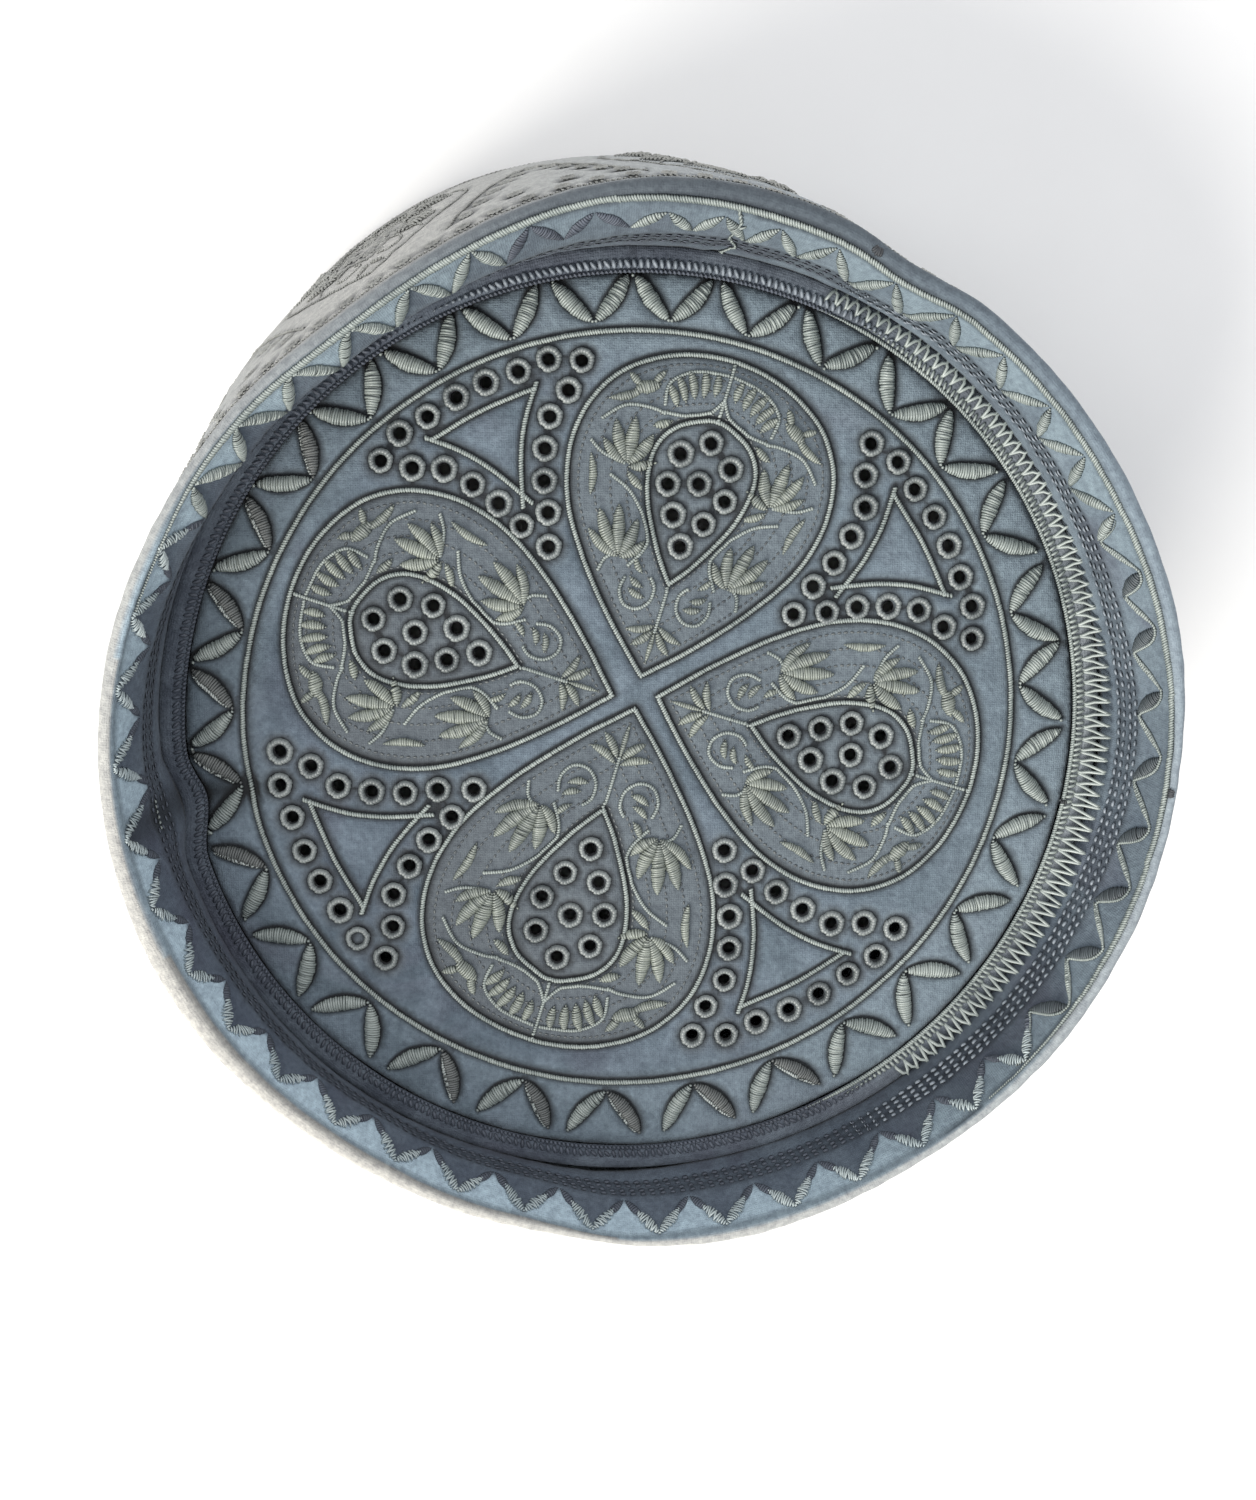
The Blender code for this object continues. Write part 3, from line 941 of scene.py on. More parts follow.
# Leaves of one drop's right half, in its chart.
DROP_LEAVES = (
    Leaf((40.8, 14.6), (43.9, 19.4), 1.05, 0.08),
    Leaf((41.2, 14.4), (47.8, 18.2), 1.25, 0.05),
    Leaf((41.2, 14.0), (49.2, 14.9), 1.35, 0.0),
    Leaf((41.0, 13.6), (47.0, 10.9), 1.25, -0.05),
    Leaf((40.4, 13.4), (42.4, 9.4), 1.00, -0.08),
    Leaf((24.0, 11.0), (27.2, 17.3), 1.05, 0.08),
    Leaf((24.4, 11.2), (31.2, 16.4), 1.30, 0.05),
    Leaf((24.6, 10.9), (33.0, 13.2), 1.35, 0.0),
    Leaf((24.4, 10.4), (31.3, 9.2), 1.25, -0.05),
    Leaf((24.0, 10.2), (27.8, 6.9), 1.00, -0.08),
    Leaf((37.2, 9.9), (39.4, 13.4), 0.85, 0.05),
    Leaf((50.6, 8.4), (48.9, 11.2), 0.85, 0.05),
    Leaf((33.6, 19.0), (40.5, 20.9), 0.80, -0.06),
    Leaf((18.0, 4.0), (18.8, 7.0), 0.72, 0.1),
    Leaf((19.8, 4.8), (21.0, 7.4), 0.72, 0.1),
    Leaf((22.4, 5.6), (24.6, 7.4), 0.68, 0.1),
    Leaf((60.2, 7.6), (55.9, 5.5), 0.92, 0.05),
    Leaf((58.7, 9.5), (54.8, 6.9), 0.92, 0.05),
    Leaf((56.8, 10.6), (53.6, 8.2), 0.90, 0.05),
    Leaf((60.9, 4.9), (56.6, 3.9), 0.92, 0.05),
    Leaf((61.2, 2.4), (57.4, 2.0), 0.85, 0.05),
    Leaf((56.4, 12.4), (54.2, 16.4), 1.40, 0.0),
    Leaf((54.6, 15.0), (51.4, 20.5), 0.90, 0.06),
    Leaf((56.0, 13.4), (59.0, 12.0), 0.80, 0.06),
    Leaf((55.2, 15.6), (56.8, 18.2), 0.75, 0.0),
    Leaf((13.4, 0.6), (11.6, 5.1), 0.80, 0.08),
    Leaf((12.4, 0.5), (9.0, 3.5), 0.85, 0.06),
)
TIP_LEAF = Leaf((12.2, 0.0), (6.6, 0.0), 0.5, 0.0)


def drop_leaves(leaves):
    """Axis and width of each leaf in the drop's chart, left and right."""
    for leaf in leaves:
        for sign in (-1, 1):
            base, tip = [(out, side * sign) for out, side in (leaf.base, leaf.tip)]
            yield leaf_line(base, tip, leaf.bow * sign), leaf.width


# At the front left the leaves that slope to the right are drawn in a darker thread as painted
# shade, and a pale thread along their lower edges is a painted highlight.
pale_paths, shaded_paths, highlight_paths = [], [], []
for k, leaf in enumerate(border_leaves):
    made = crown_path(leaf, BORDER_LEAF, tips=True)
    along = Vector(leaf[-1]) - Vector(leaf[0])
    leans = abs(along.x - along.y) > SHADED_LEAN * along.length
    if SHADED_FROM < BORDER_POINTS[k // 2] < SHADED_TO and leans:
        shaded_paths.append(made)
        edge = [(x - 0.48 * width, y - 0.48 * width) for (x, y), width in zip(leaf, made.widths)]
        highlight_paths.append(crown_path(edge[2:-2], 0.5, tips=True))
    else:
        pale_paths.append(made)
stitch(
    "border_leaves", pale_paths, crown_cloth, pale_thread, 11, rise=0.22, rise_by_width=0.7, **SATIN
)

shaded_border_thread = cotton_thread("worn_cotton_thread", "#686b69", "#474b4b", roughness=0.55)
border_in_painted_shade = stitch(
    "border_leaves_soiled", shaded_paths, crown_cloth, shaded_border_thread, 12, rise=0.22,
    rise_by_width=0.7, **SATIN,
)

# Painted highlight: a pale thread along the lower edge of each leaf in painted shade.
highlight_thread = cotton_thread("edge_cotton_thread", "#b4bab6", "#8c9491", roughness=0.5)
stitch(
    "border_leaf_edges", highlight_paths, border_in_painted_shade, highlight_thread, 13, slant=0.6
)

sprig_thread = cotton_thread("sprig_cotton_thread", "#8f958b", "#656c68")
sprig_paths = []
for motif in DROPS:
    middle = leaf_line(TIP_LEAF.base, TIP_LEAF.tip, TIP_LEAF.bow)
    for line, width in (*drop_leaves(DROP_LEAVES), (middle, TIP_LEAF.width)):
        flat = [in_motif(motif, *point) for point in line]
        sprig_paths.append(crown_path(flat, width * motif.size, tips=True))
stitch(
    "drop_sprigs", sprig_paths, crown_cloth, sprig_thread, 17, padded_stitch, pitch=0.42,
    thread=0.56, rise=0.30, rise_by_width=0.6, slant=0.15,
)

# The ground of each drop: short running stitches in echoing lines, which press
# the cloth flat and leave it duller than the blue round it.

GROUND_LINES = 5
GROUND_TURNS = 60            # places where two echoing lines are compared
ACROSS = math.pi / 2         # the slant of a running stitch, laid along its line


def between_outlines(share):
    """A closed line of the drop's chart, from its outline towards the seed's."""
    outer, inner = [
        smooth_line(both_sides(half), step, closed=True, sharp=(0,))
        for half, step in ((DROP_OUTLINE, 0.5), (SEED_OUTLINE, 0.3))
    ]
    made = []
    for k in range(GROUND_TURNS):
        a, b = [Vector(line[int(k / GROUND_TURNS * len(line))]) for line in (outer, inner)]
        made.append(tuple(a.lerp(b, share)))
    return smooth_line(made, 1.0, closed=True)


ground_thread = cotton_thread("ground_cotton_thread", "#616666", "#3a4045", roughness=0.6)
ground_paths = [
    crown_path([
        in_motif(motif, *point) for point in between_outlines((k + 0.7) / GROUND_LINES)
    ], 0.42, closed=True)
    for motif in DROPS for k in range(GROUND_LINES)
]
stitch(
    "drop_ground", ground_paths, crown_cloth, ground_thread, 23, pitch=1.2, thread=0.40,
    rise=0.14, slant=ACROSS, wander=0.35,
)

# The band: one long strip of the same stitched cotton, closed at the back. It
# stands up as the cap's wall, folds over softly at the rim and slopes down
# inside to the crown.

HEM_CENTRE = (-2.5, 1.2)
HEM_LONG = 97.0              # half the hem's length and half its width
HEM_SHORT = 88.5
HEM_TURN = -10.0
HEM_FOLD = 3.0               # how far up it stands straight
RIM_CENTRE = (0.0, -4.8)
RIM_HEIGHT = 80.2            # at the sides: it is lower at the back
RIM_SLOPE = math.tan(math.radians(5.0))
FOLD_RADIUS = 1.7            # of the soft fold at the rim
WALL_BULGE = 1.6
LEAF_STRIP = 7.3             # width of the strip that leans inside the fold
SLOPE_SWELL = 0.5
SEAM_RISE = 0.4
SEAM_REACH = 4.6             # from the crown's edge to the slope's foot
# The rim's radius at each section, how far inside it the leaf strip starts,
# and how far that strip leans inwards.
Section = namedtuple("Section", "angle radius inset lean")
SECTIONS = (
    Section(0, 94.2, 4.6, 4.2),
    Section(30, 92.7, 3.8, 3.1),
    Section(60, 93.1, 3.6, 3.6),
    Section(90, 94.5, 3.6, 2.4),
    Section(120, 92.8, 3.1, 2.2),
    Section(150, 91.4, 3.1, 2.4),
    Section(180, 92.2, 3.1, 2.9),
    Section(210, 90.8, 3.1, 2.6),
    Section(240, 93.3, 3.2, 3.3),
    Section(270, 94.0, 3.1, 2.8),
    Section(300, 90.9, 3.1, 3.8),
    Section(330, 88.9, 3.1, 3.9),
)
RIM_DENTS = (Dent(28, 9, 1.2), Dent(193, 12, 0.8), Dent(322, 12, 0.5))
WALL_DENTS = (Dent(48, 20, 1.6), Dent(138, 26, 2.2), Dent(222, 22, 1.8), Dent(292, 18, 1.4))
SLOPE_CREASES = (Dent(261, 3.4, 1.0), Dent(9.5, 1.6, 0.5))
RIM_WAVES = (Dent(92, 18, 0.8), Dent(184, 14, 0.7), Dent(248, 28, -0.8))
BAND_GRID = 1.6              # spacing of the cloth's own points on the wall
SLOPE_GRID = 1.0             # and on the slope
WALL_STEPS = 56              # points up each end of the strip's wall
WALL_HOLE_SIDES = 9
BAND_CREASE_SHADE = (Dent(261, 3.4, 0.7),)
MEAN_RADIUS = 92.5           # turns an angle into millimetres of the strip


def around(column, angle):
    """Read one column of the sections, smoothly round the cap."""
    count = len(SECTIONS)
    place = (angle % 360.0) / 360.0 * count
    first = int(place) % count
    share = place - int(place)
    before, here, after, beyond = [
        getattr(SECTIONS[(first + k) % count], column) for k in (-1, 0, 1, 2)
    ]
    rise = (after - before) / 2
    fall = (beyond - here) / 2
    return (
        here
        + rise * share
        + (3 * (after - here) - 2 * rise - fall) * share ** 2
        + (2 * (here - after) + rise + fall) * share ** 3
    )


@lru_cache(maxsize=None)
def band_section(angle):
    """Outer face of the band at an angle, from the hem up and over the rim."""
    out_x, out_y = direction(angle)
    radius = around("radius", angle) - dented(RIM_DENTS, angle)
    top = RIM_HEIGHT - RIM_SLOPE * radius * out_y
    turn = math.radians(angle - HEM_TURN)
    hem = 1 / math.hypot(math.cos(turn) / HEM_LONG, math.sin(turn) / HEM_SHORT)

    def place(distance, height):
        share = held((height - HEM_FOLD) / (top - HEM_FOLD))
        x, y = [low + (high - low) * share for low, high in zip(HEM_CENTRE, RIM_CENTRE)]
        return Vector((x + distance * out_x, y + distance * out_y, height))

    points = [place(hem, 0.0), place(hem, HEM_FOLD)]
    wall_top = top - FOLD_RADIUS
    for share in (0.25, 0.5, 0.75, 0.92):
        height = HEM_FOLD + (wall_top - HEM_FOLD) * share
        swell = WALL_BULGE * math.sin(math.pi * share)
        dent = dented(WALL_DENTS, angle) * math.sin(math.pi * share)
        points.append(place(hem + (radius - hem) * share + swell - dent, height))
    for turn in (0, 45, 90, 135):
        up, along = direction(turn)
        points.append(place(radius - FOLD_RADIUS * (1 - along), wall_top + FOLD_RADIUS * up))
    inset, lean = around("inset", angle), around("lean", angle)
    points.append(place(radius - inset, wall_top))
    foot = place(radius - inset - lean, wall_top - math.sqrt(LEAF_STRIP ** 2 - lean ** 2))
    points.append(foot)
    edge_x, edge_y = polar(angle, crown_radius(angle))
    seam = Vector((
        edge_x + SEAM_REACH * out_x, edge_y + SEAM_REACH * out_y,
        crown_height(edge_x, edge_y) + SEAM_RISE,
    ))
    middle = (foot + seam) / 2 - Vector((SLOPE_SWELL * out_x, SLOPE_SWELL * out_y, 0.0))
    points += [middle, seam]
    return points


# The strip's own chart: millimetres up from the hem, measured at the side.
side_section = band_section(90.0)
BAND_MARKS = [0.0]
for lower, upper in zip(side_section, side_section[1:]):
    BAND_MARKS.append(BAND_MARKS[-1] + (upper - lower).length)
WALL_TOP, FOLD_CREST, STRIP_TOP, STRIP_FOOT, BAND_END = [BAND_MARKS[k] for k in (6, 8, 10, 11, 13)]


def on_band(angle, up):
    """Point of the band at an angle and a height of its own chart."""
    points = band_section(round(angle % 360.0, 3))
    k = 0
    while k < len(BAND_MARKS) - 2 and up > BAND_MARKS[k + 1]:
        k += 1
    t = (up - BAND_MARKS[k]) / (BAND_MARKS[k + 1] - BAND_MARKS[k])
    here, after = points[k], points[k + 1]
    before = points[k - 1] if k else 2 * here - after
    beyond = points[k + 2] if k + 2 < len(points) else 2 * after - here
    near = (after - here).length
    rise = (after - before) * (near / ((here - before).length + near))
    fall = (beyond - here) * (near / ((beyond - after).length + near))
    place = (
        here * (2 * t ** 3 - 3 * t ** 2 + 1) + rise * (t ** 3 - 2 * t ** 2 + t)
        + after * (3 * t ** 2 - 2 * t ** 3) + fall * (t ** 3 - t ** 2)
    )
    return place * MM


def band_out(angle, up):
    """Outward direction of the band's outer face at a place of its chart."""
    step = 0.4
    climb = on_band(angle, min(BAND_END, up + step)) - on_band(angle, max(0.0, up - step))
    return climb.cross(on_band(angle + step, up) - on_band(angle - step, up)).normalized()


# The zigzag of leaves inside the rim: the angle of each outer tip, as sewn by
# hand and eye, and how far the line, the leaves and the rubbed edge wander up
# and down the strip.
RIM_LEAVES = (
    1.4, 7.5, 13.6, 20.0, 27.1, 34.6, 41.5, 49.1, 55.8, 63.0, 70.1, 76.6, 84.1, 91.6, 99.7, 106.8,
    114.4, 121.9, 130.0, 138.0, 145.6, 154.1, 162.4, 170.8, 178.8, 186.7, 195.2, 203.4, 211.7,
    220.0, 228.4, 236.6, 244.4, 252.8, 260.8, 268.8, 277.2, 285.2, 293.1, 300.8, 308.6, 316.6,
    324.6, 332.4, 339.9, 346.6, 353.6,
)
Way = namedtuple("Way", "angle tip foot line edge")
STRIP_WAY = (
    Way(0, 1.6, -2.6, -0.3, 0.5), Way(14, 1.2, 0.2, 0.0, 0.5), Way(27, 0.3, 1.5, 0.0, 0.5),
    Way(49, 0.8, 0.1, 0.0, 0.5), Way(63, 1.1, 0.3, 0.0, 0.5), Way(73, 0.4, -1.6, -0.2, 0.5),
    Way(84, 1.7, 0.9, 0.4, 0.5), Way(92, 2.2, 1.1, 0.9, 0.5), Way(107, 1.3, 0.3, 0.3, 0.5),
    Way(122, 0.4, -0.8, 0.0, 0.4), Way(138, -0.3, -1.1, -0.2, -0.4),
    Way(179, 0.3, -0.9, 0.0, -0.2), Way(190, 0.5, -0.8, 0.0, 0.6), Way(228, 1.2, -0.9, 0.0, 0.8),
    Way(244, 0.7, -1.3, 0.0, 0.4), Way(256, -0.7, -2.4, 0.0, -0.5), Way(265, -0.8, 1.5, 0.0, -0.6),
    Way(273, -0.9, -1.1, 0.0, -0.6), Way(289, -1.3, -2.0, -0.6, -0.5),
    Way(300, -1.4, -0.6, -1.4, 0.2), Way(336, -1.4, -0.6, -1.5, 0.5),
    Way(350, -0.6, -2.9, -0.9, 0.5), Way(360, 1.6, -2.6, -0.3, 0.5),
)
STITCH_ROWS = [STRIP_FOOT + 1.5 + 1.5 * k for k in range(4)]
RIM_LINE = FOLD_CREST + 1.9

# The wall's pattern, small enough for nine drops to go round: their points are
# up, with a triangle of eyelets between each two and a row of eyelets above.
PANELS = 9
DROP_PHASE = 9.0             # angle of the first drop
TRIANGLE_PHASE = 29.0
WALL_SCALE = 0.80            # of the crown's chart of a drop
WALL_ROW = WALL_TOP - 7.5
ROW_EYELETS = 99
WALL_DROP_TOP = WALL_ROW - 4.5
WALL_TRIANGLE_TOP = WALL_ROW - 8.0
# Down from the triangle's top and to each side of its middle.
WALL_TRIANGLE = (
    (0.0, 4.6), (0.0, 13.6), (6.0, 10.6), (12.0, 7.8), (18.0, 5.2), (24.0, 2.8), (30.0, 0.0),
)
WALL_HOLE = 0.70
WALL_RING = 1.4
HEM_ROWS = (4.6, 6.4, 8.2, 12.4)
WALL_LINE = WALL_ROW + 3.6
WALL_STEP = 1.4
# One side of the line round each triangle: down from its top, and outwards.
WALL_TRIANGLE_SIDE = ((-3.2, 17.4), (8.0, 12.8), (20.0, 7.4), (34.4, 0.8))


def on_strip(angle, side, up):
    """Angle and height of a place to the right of a line up the wall."""
    return angle + math.degrees(side / MEAN_RADIUS), up


def in_wall_drop(panel, out, side):
    """Angle and height of a place in the chart of one of the wall's drops."""
    angle = DROP_PHASE + panel * 360 / PANELS
    return on_strip(angle, -WALL_SCALE * side, WALL_DROP_TOP - WALL_SCALE * out)


def in_wall_triangle(panel, side, up):
    """Angle and height of a place beside the middle of one of the wall's triangles."""
    return on_strip(TRIANGLE_PHASE + panel * 360 / PANELS, side, up)


def wall_eyelets():
    """Angle and height of each eyelet of the wall."""
    for k in range(ROW_EYELETS):
        yield (k + 0.5) * 360 / ROW_EYELETS, WALL_ROW
    for panel in range(PANELS):
        for out, side in DROP_EYELETS:
            for signed in sorted({side, -side}):
                yield in_wall_drop(panel, out, signed)
        for down, side in WALL_TRIANGLE:
            for signed in sorted({side, -side}):
                yield in_wall_triangle(panel, signed, WALL_TRIANGLE_TOP - down)


def wall_lines():
    """Bound lines of the wall's pattern, as (points, closed)."""
    for panel in range(PANELS):
        for half in (DROP_OUTLINE, SEED_OUTLINE):
            outline = smooth_line(both_sides(half), WALL_STEP, closed=True, sharp=(0,))
            yield [in_wall_drop(panel, *point) for point in outline], True
        for sign in (-1, 1):
            edge = [(side * sign, WALL_TRIANGLE_TOP - down) for down, side in WALL_TRIANGLE_SIDE]
            line = smooth_line(edge, WALL_STEP)
            yield [in_wall_triangle(panel, *point) for point in line], False


def strip_place(angle, up):
    """Flat place of the strip's chart in millimetres."""
    return math.radians(angle) * MEAN_RADIUS, up


wall_rings = [strip_place(angle % 360, up) for angle, up in wall_eyelets()]
rings_of_wall = tree_of(wall_rings)
lines_of_wall = list(wall_lines())
work_of_wall = tree_of([
    strip_place(angle % 360, up) for line, _ in lines_of_wall for angle, up in line
])
STRIP_LENGTH = 2 * math.pi * MEAN_RADIUS


def is_band(x, up):
    if not (-0.001 <= x <= STRIP_LENGTH + 0.001 and -0.001 <= up <= BAND_END + 0.001):
        return False
    return rings_of_wall.find((x, up, 0.0))[2] > WALL_HOLE


def front_left(angle):
    """1 at the front left of the cap, 0 at its back right."""
    return 0.5 - 0.5 * math.cos(math.radians(angle - 45))


def near_angle(angle, middle, spread):
    """1 at an angle, fading to 0 on both sides of it."""
    return math.exp(-(((angle - middle + 180) % 360 - 180) / spread) ** 2)


def wander(column, angle):
    """How far a part of the strip wanders down it at an angle."""
    angle %= 360.0
    for here, after in zip(STRIP_WAY, STRIP_WAY[1:]):
        if angle <= after.angle:
            share = (angle - here.angle) / (after.angle - here.angle)
            return getattr(here, column) * (1 - share) + getattr(after, column) * share


def leaf_tip(angle):
    return STRIP_TOP + wander("tip", angle)


def leaf_foot(angle):
    return STRIP_FOOT + wander("foot", angle)


def rim_line_up(angle):
    return RIM_LINE + wander("line", angle)


def zigzag(angle):
    """Height in the strip's chart of the zigzag of leaves at an angle."""
    angle %= 360.0
    before = max([tip for tip in RIM_LEAVES if tip <= angle], default=RIM_LEAVES[-1] - 360)
    after = min([tip for tip in RIM_LEAVES if tip > angle], default=RIM_LEAVES[0] + 360)
    down = 1 - abs(2 * (angle - before) / (after - before) - 1)
    return leaf_tip(angle) * (1 - down) + leaf_foot(angle) * down


def band_relief(x, up):
    """How far the band stands off its smooth form, and how near a stitch is."""
    turn = x / MEAN_RADIUS
    angle = math.degrees(turn)
    across, along = math.cos(turn), math.sin(turn)
    near = min(
        *[abs(up - row) for row in (rim_line_up(angle), *STITCH_ROWS, *HEM_ROWS, WALL_LINE)],
        abs(rings_of_wall.find((x, up, 0.0))[2] - WALL_RING),
        work_of_wall.find((x, up, 0.0))[2],
    )
    pull = math.exp(-(near / 0.65) ** 2)
    puff = 1 - math.exp(-(near / 1.6) ** 2)
    calm = min(1.0, up / 12.0) * min(1.0, (BAND_END - up) / 6.0)
    wave = noise.noise(Vector((across * 1.9, along * 1.9, up * 0.021)) * 1.3) * 0.45 * calm
    wave -= dented(RIM_WAVES, angle) * held(up / 40 - 0.6)
    crumple = noise.noise(Vector((across * 26, along * 26, up * 0.28))) * 0.16
    crease = dented(SLOPE_CREASES, angle) if up > STRIP_TOP else 0.0
    return 0.18 * puff - 0.28 * pull + wave + crumple - 0.5 * crease - 0.2, pull


def band_points():
    """Points of the strip: its edges, the eyelets and a grid, finer over the slope."""
    columns = round(STRIP_LENGTH / BAND_GRID)
    points = [
        (STRIP_LENGTH * k / columns, up) for up in (0.0, BAND_END) for k in range(columns + 1)
    ]
    slope_rows = round((BAND_END - WALL_TOP) / SLOPE_GRID)
    slope = [WALL_TOP + (BAND_END - WALL_TOP) * k / slope_rows for k in range(slope_rows)]
    wall = [WALL_TOP * k / WALL_STEPS for k in range(1, WALL_STEPS)]
    points += [(x, up) for up in wall + slope for x in (0.0, STRIP_LENGTH)]
    loops = []
    for x, up in wall_rings:
        loops.append(list(range(len(points), len(points) + WALL_HOLE_SIDES)))
        for radius in (WALL_HOLE, WALL_RING + 0.2):
            points += [
                polar(360 * k / WALL_HOLE_SIDES, radius, (x, up)) for k in range(WALL_HOLE_SIDES)
            ]
    taken = tree_of(points)
    for row in range(1, int((WALL_TOP - 0.4) / (BAND_GRID * GRID_ROW))):
        up = row * BAND_GRID * GRID_ROW
        for column in range(columns):
            x = (column + 0.5 * (row % 2)) * BAND_GRID
            if 0.6 < x < STRIP_LENGTH - 0.6 and taken.find((x, up, 0.0))[2] > 0.55 * BAND_GRID:
                points.append((x, up))
    across = round(STRIP_LENGTH / SLOPE_GRID)
    for row, up in enumerate(slope):
        points += [
            (STRIP_LENGTH * (column + 0.5 * (row % 2)) / across - 0.02, up)
            for column in range(1, across)
        ]
    return points, loops


def band_tones(angle, up, pull):
    """Painted shade, bare ground, rubbing with painted light, and the share of the front-left
    painted light and shade of the band at a place.
    """
    crest = rim_line_up(angle) + wander("edge", angle)
    wall = held((WALL_TOP - 1.0 - up) / 2.5)
    leaves = held((zigzag(angle) + 0.3 - up) / 0.8) if up > crest - 0.7 else 0.0
    # The strip between the zigzag and the rim line is paler for rubbing and for painted light, less
    # so at the right, the back and the back right.
    rubbed_and_lit = leaves * (
        1 - 0.8 * near_angle(angle, 96, 30) - 0.7 * near_angle(angle, 0, 24)
        - 0.35 * near_angle(angle, 44, 20)
    )
    # Painted light: the wall is paler at the back left and at the front left.
    pale_wall = 0.85 * near_angle(angle, 330, 46) + 0.3 * near_angle(angle, 225, 60)
    # Painted shade by angle: the fold and the wall are darker at the back, the strip at the right,
    # and the slope at the back and the front right.
    if up < crest:
        painted_angle_shade = 0.74 * near_angle(angle, 8, 46) * (1 - wall)
    else:
        painted_angle_shade = 0.28 * near_angle(angle, 96, 32) * leaves + 0.22 * near_angle(angle, 358, 30)
        painted_angle_shade += 0.3 * near_angle(angle, 134, 18)
    # Painted shade in the crease, at the slope's foot by the seam and at the hem by the floor.
    crease = dented(BAND_CREASE_SHADE, angle) if up > STRIP_TOP else 0.0
    foot = 0.25 * math.exp(-((BAND_END - up) / 1.2) ** 2)
    hem = 0.4 * math.exp(-(up / 1.6) ** 2)
    shade = min(1.0, 0.7 * pull + foot + crease + hem + painted_angle_shade)
    # front: painted shade and painted light on the side that looks front left, with the painted
    # light on the wall.
    front = front_left(angle) * (1 - wall) + pale_wall * wall
    return shade, held((crest - up) / 0.7), rubbed_and_lit, front


def build_band_cloth():
    points, faces = flat_cloth(*band_points(), is_band)
    places, tones = [], []
    for x, up in points:
        angle = math.degrees(x / MEAN_RADIUS)
        relief, pull = band_relief(x, up)
        places.append(on_band(angle, up) + band_out(angle, up) * (relief * MM))
        tones.append(band_tones(angle, up, pull))
    fields = ("stitch_shade", "ground", "wear", "front")
    made = sheet_object("band_cloth", places, faces, points, dict(zip(fields, zip(*tones))))
    shape = bmesh.new()
    shape.from_mesh(made.data)
    bmesh.ops.remove_doubles(shape, verts=shape.verts, dist=0.02 * MM)
    shape.to_mesh(made.data)
    shape.free()
    made = lined(made, lambda middle: Vector((middle.x, middle.y, 0.0)))
    # At the front left, painted shade darkens the slope's cloth, and painted light makes the fold,
    # the wall and the rubbed strip paler.
    made.data.materials.append(washed_cotton(
        "washed_band_cotton", faded="#727f88", deep="#57636d", ground="#82909a",
        shade="#262c33", worn_and_lit="#7f8f97", front=("#414757", "#b3b1ab", "#aabdc8"),
    ))
    return made


band_cloth = fix(build_band_cloth(), "side_band")


def band_path(flat, width, closed=False, tips=False):
    """Path on the band, through angles and heights of its chart."""
    widths = leaf_widths(len(flat), width) if tips else [width] * len(flat)
    places = []
    for angle, up in flat:
        relief, _ = band_relief(math.radians(angle % 360) * MEAN_RADIUS, up)
        places.append(on_band(angle, up) + band_out(angle, up) * ((relief + 0.4) * MM))
    return Path(places, widths, closed)


def narrowed(width, angle, first, last, fade):
    """A width at an angle of a stretch, which narrows at both its ends."""
    return width * max(0.15, min(1.0, (angle - first) / fade, (last - angle) / fade))


def part_path(up, first, last, width, fade=6.0, step=0.5):
    """Path along the band between two angles."""
    angles = [first + k * step for k in range(round((last - first) / step) + 1)]
    path = band_path([(angle, up(angle)) for angle in angles], width)
    return Path(path.points, [narrowed(width, a, first, last, fade) for a in angles], False)


# Inside the rim: a pale line of close satin, a zigzag of long leaves and four
# close rows of running stitch, all worked before the strip was folded.

stitch(
    "rim_line", [part_path(rim_line_up, 286, 496, 0.78, 24.0)], band_cloth, pale_thread, 31,
    rise=0.62, slant=0.5,
)


def rim_leaf(k, side, first, last):
    """Chart line of one leaf, or of a part of it, from its outer tip down the strip."""
    tip = RIM_LEAVES[k]
    gap = (RIM_LEAVES[(k + side) % len(RIM_LEAVES)] - tip + 180) % 360 - 180
    outer = (tip + side * 0.25, leaf_tip(tip))
    inner = (tip + 0.465 * gap, leaf_foot(tip + 0.465 * gap))
    shares = [first + (last - first) * j / 12 for j in range(13)]
    return [tuple(a + (b - a) * share for a, b in zip(outer, inner)) for share in shares]


# Where round the rim the leaves are drawn in painted shade on one side at the right, frayed at the
# front and left with their inner halves in painted shade, and darker at the back.
SHADED_RIGHT, FRAYED, DARK_AT_BACK = (66, 128), (128, 298), (343, 358)
pale_leaves, frayed_leaves, right_shaded_leaves, shaded_leaves = [], [], [], []
for k, tip in enumerate(RIM_LEAVES):
    for side in (-1, 1):
        if SHADED_RIGHT[0] < tip < SHADED_RIGHT[1]:
            parts = [(right_shaded_leaves, 1.4, 0.0, 1.0) if side > 0 else (pale_leaves, 0.65, 0.0, 1.0)]
        elif FRAYED[0] < tip < FRAYED[1]:
            parts = [(frayed_leaves, 1.3, -0.06, 0.66), (shaded_leaves, 0.8, 0.5, 1.0)]
        elif DARK_AT_BACK[0] < tip < DARK_AT_BACK[1]:
            parts = [(shaded_leaves, 1.1, 0.0, 1.0)]
        else:
            parts = [(pale_leaves, 1.25 if tip > FRAYED[1] else 1.1, 0.0, 1.0)]
        for leaves, width, first, last in parts:
            leaves.append(band_path(rim_leaf(k, side, first, last), width, tips=True))
stitch(
    "rim_leaves", pale_leaves, band_cloth, pale_thread, 37, rise=0.22, rise_by_width=0.55, **SATIN
)

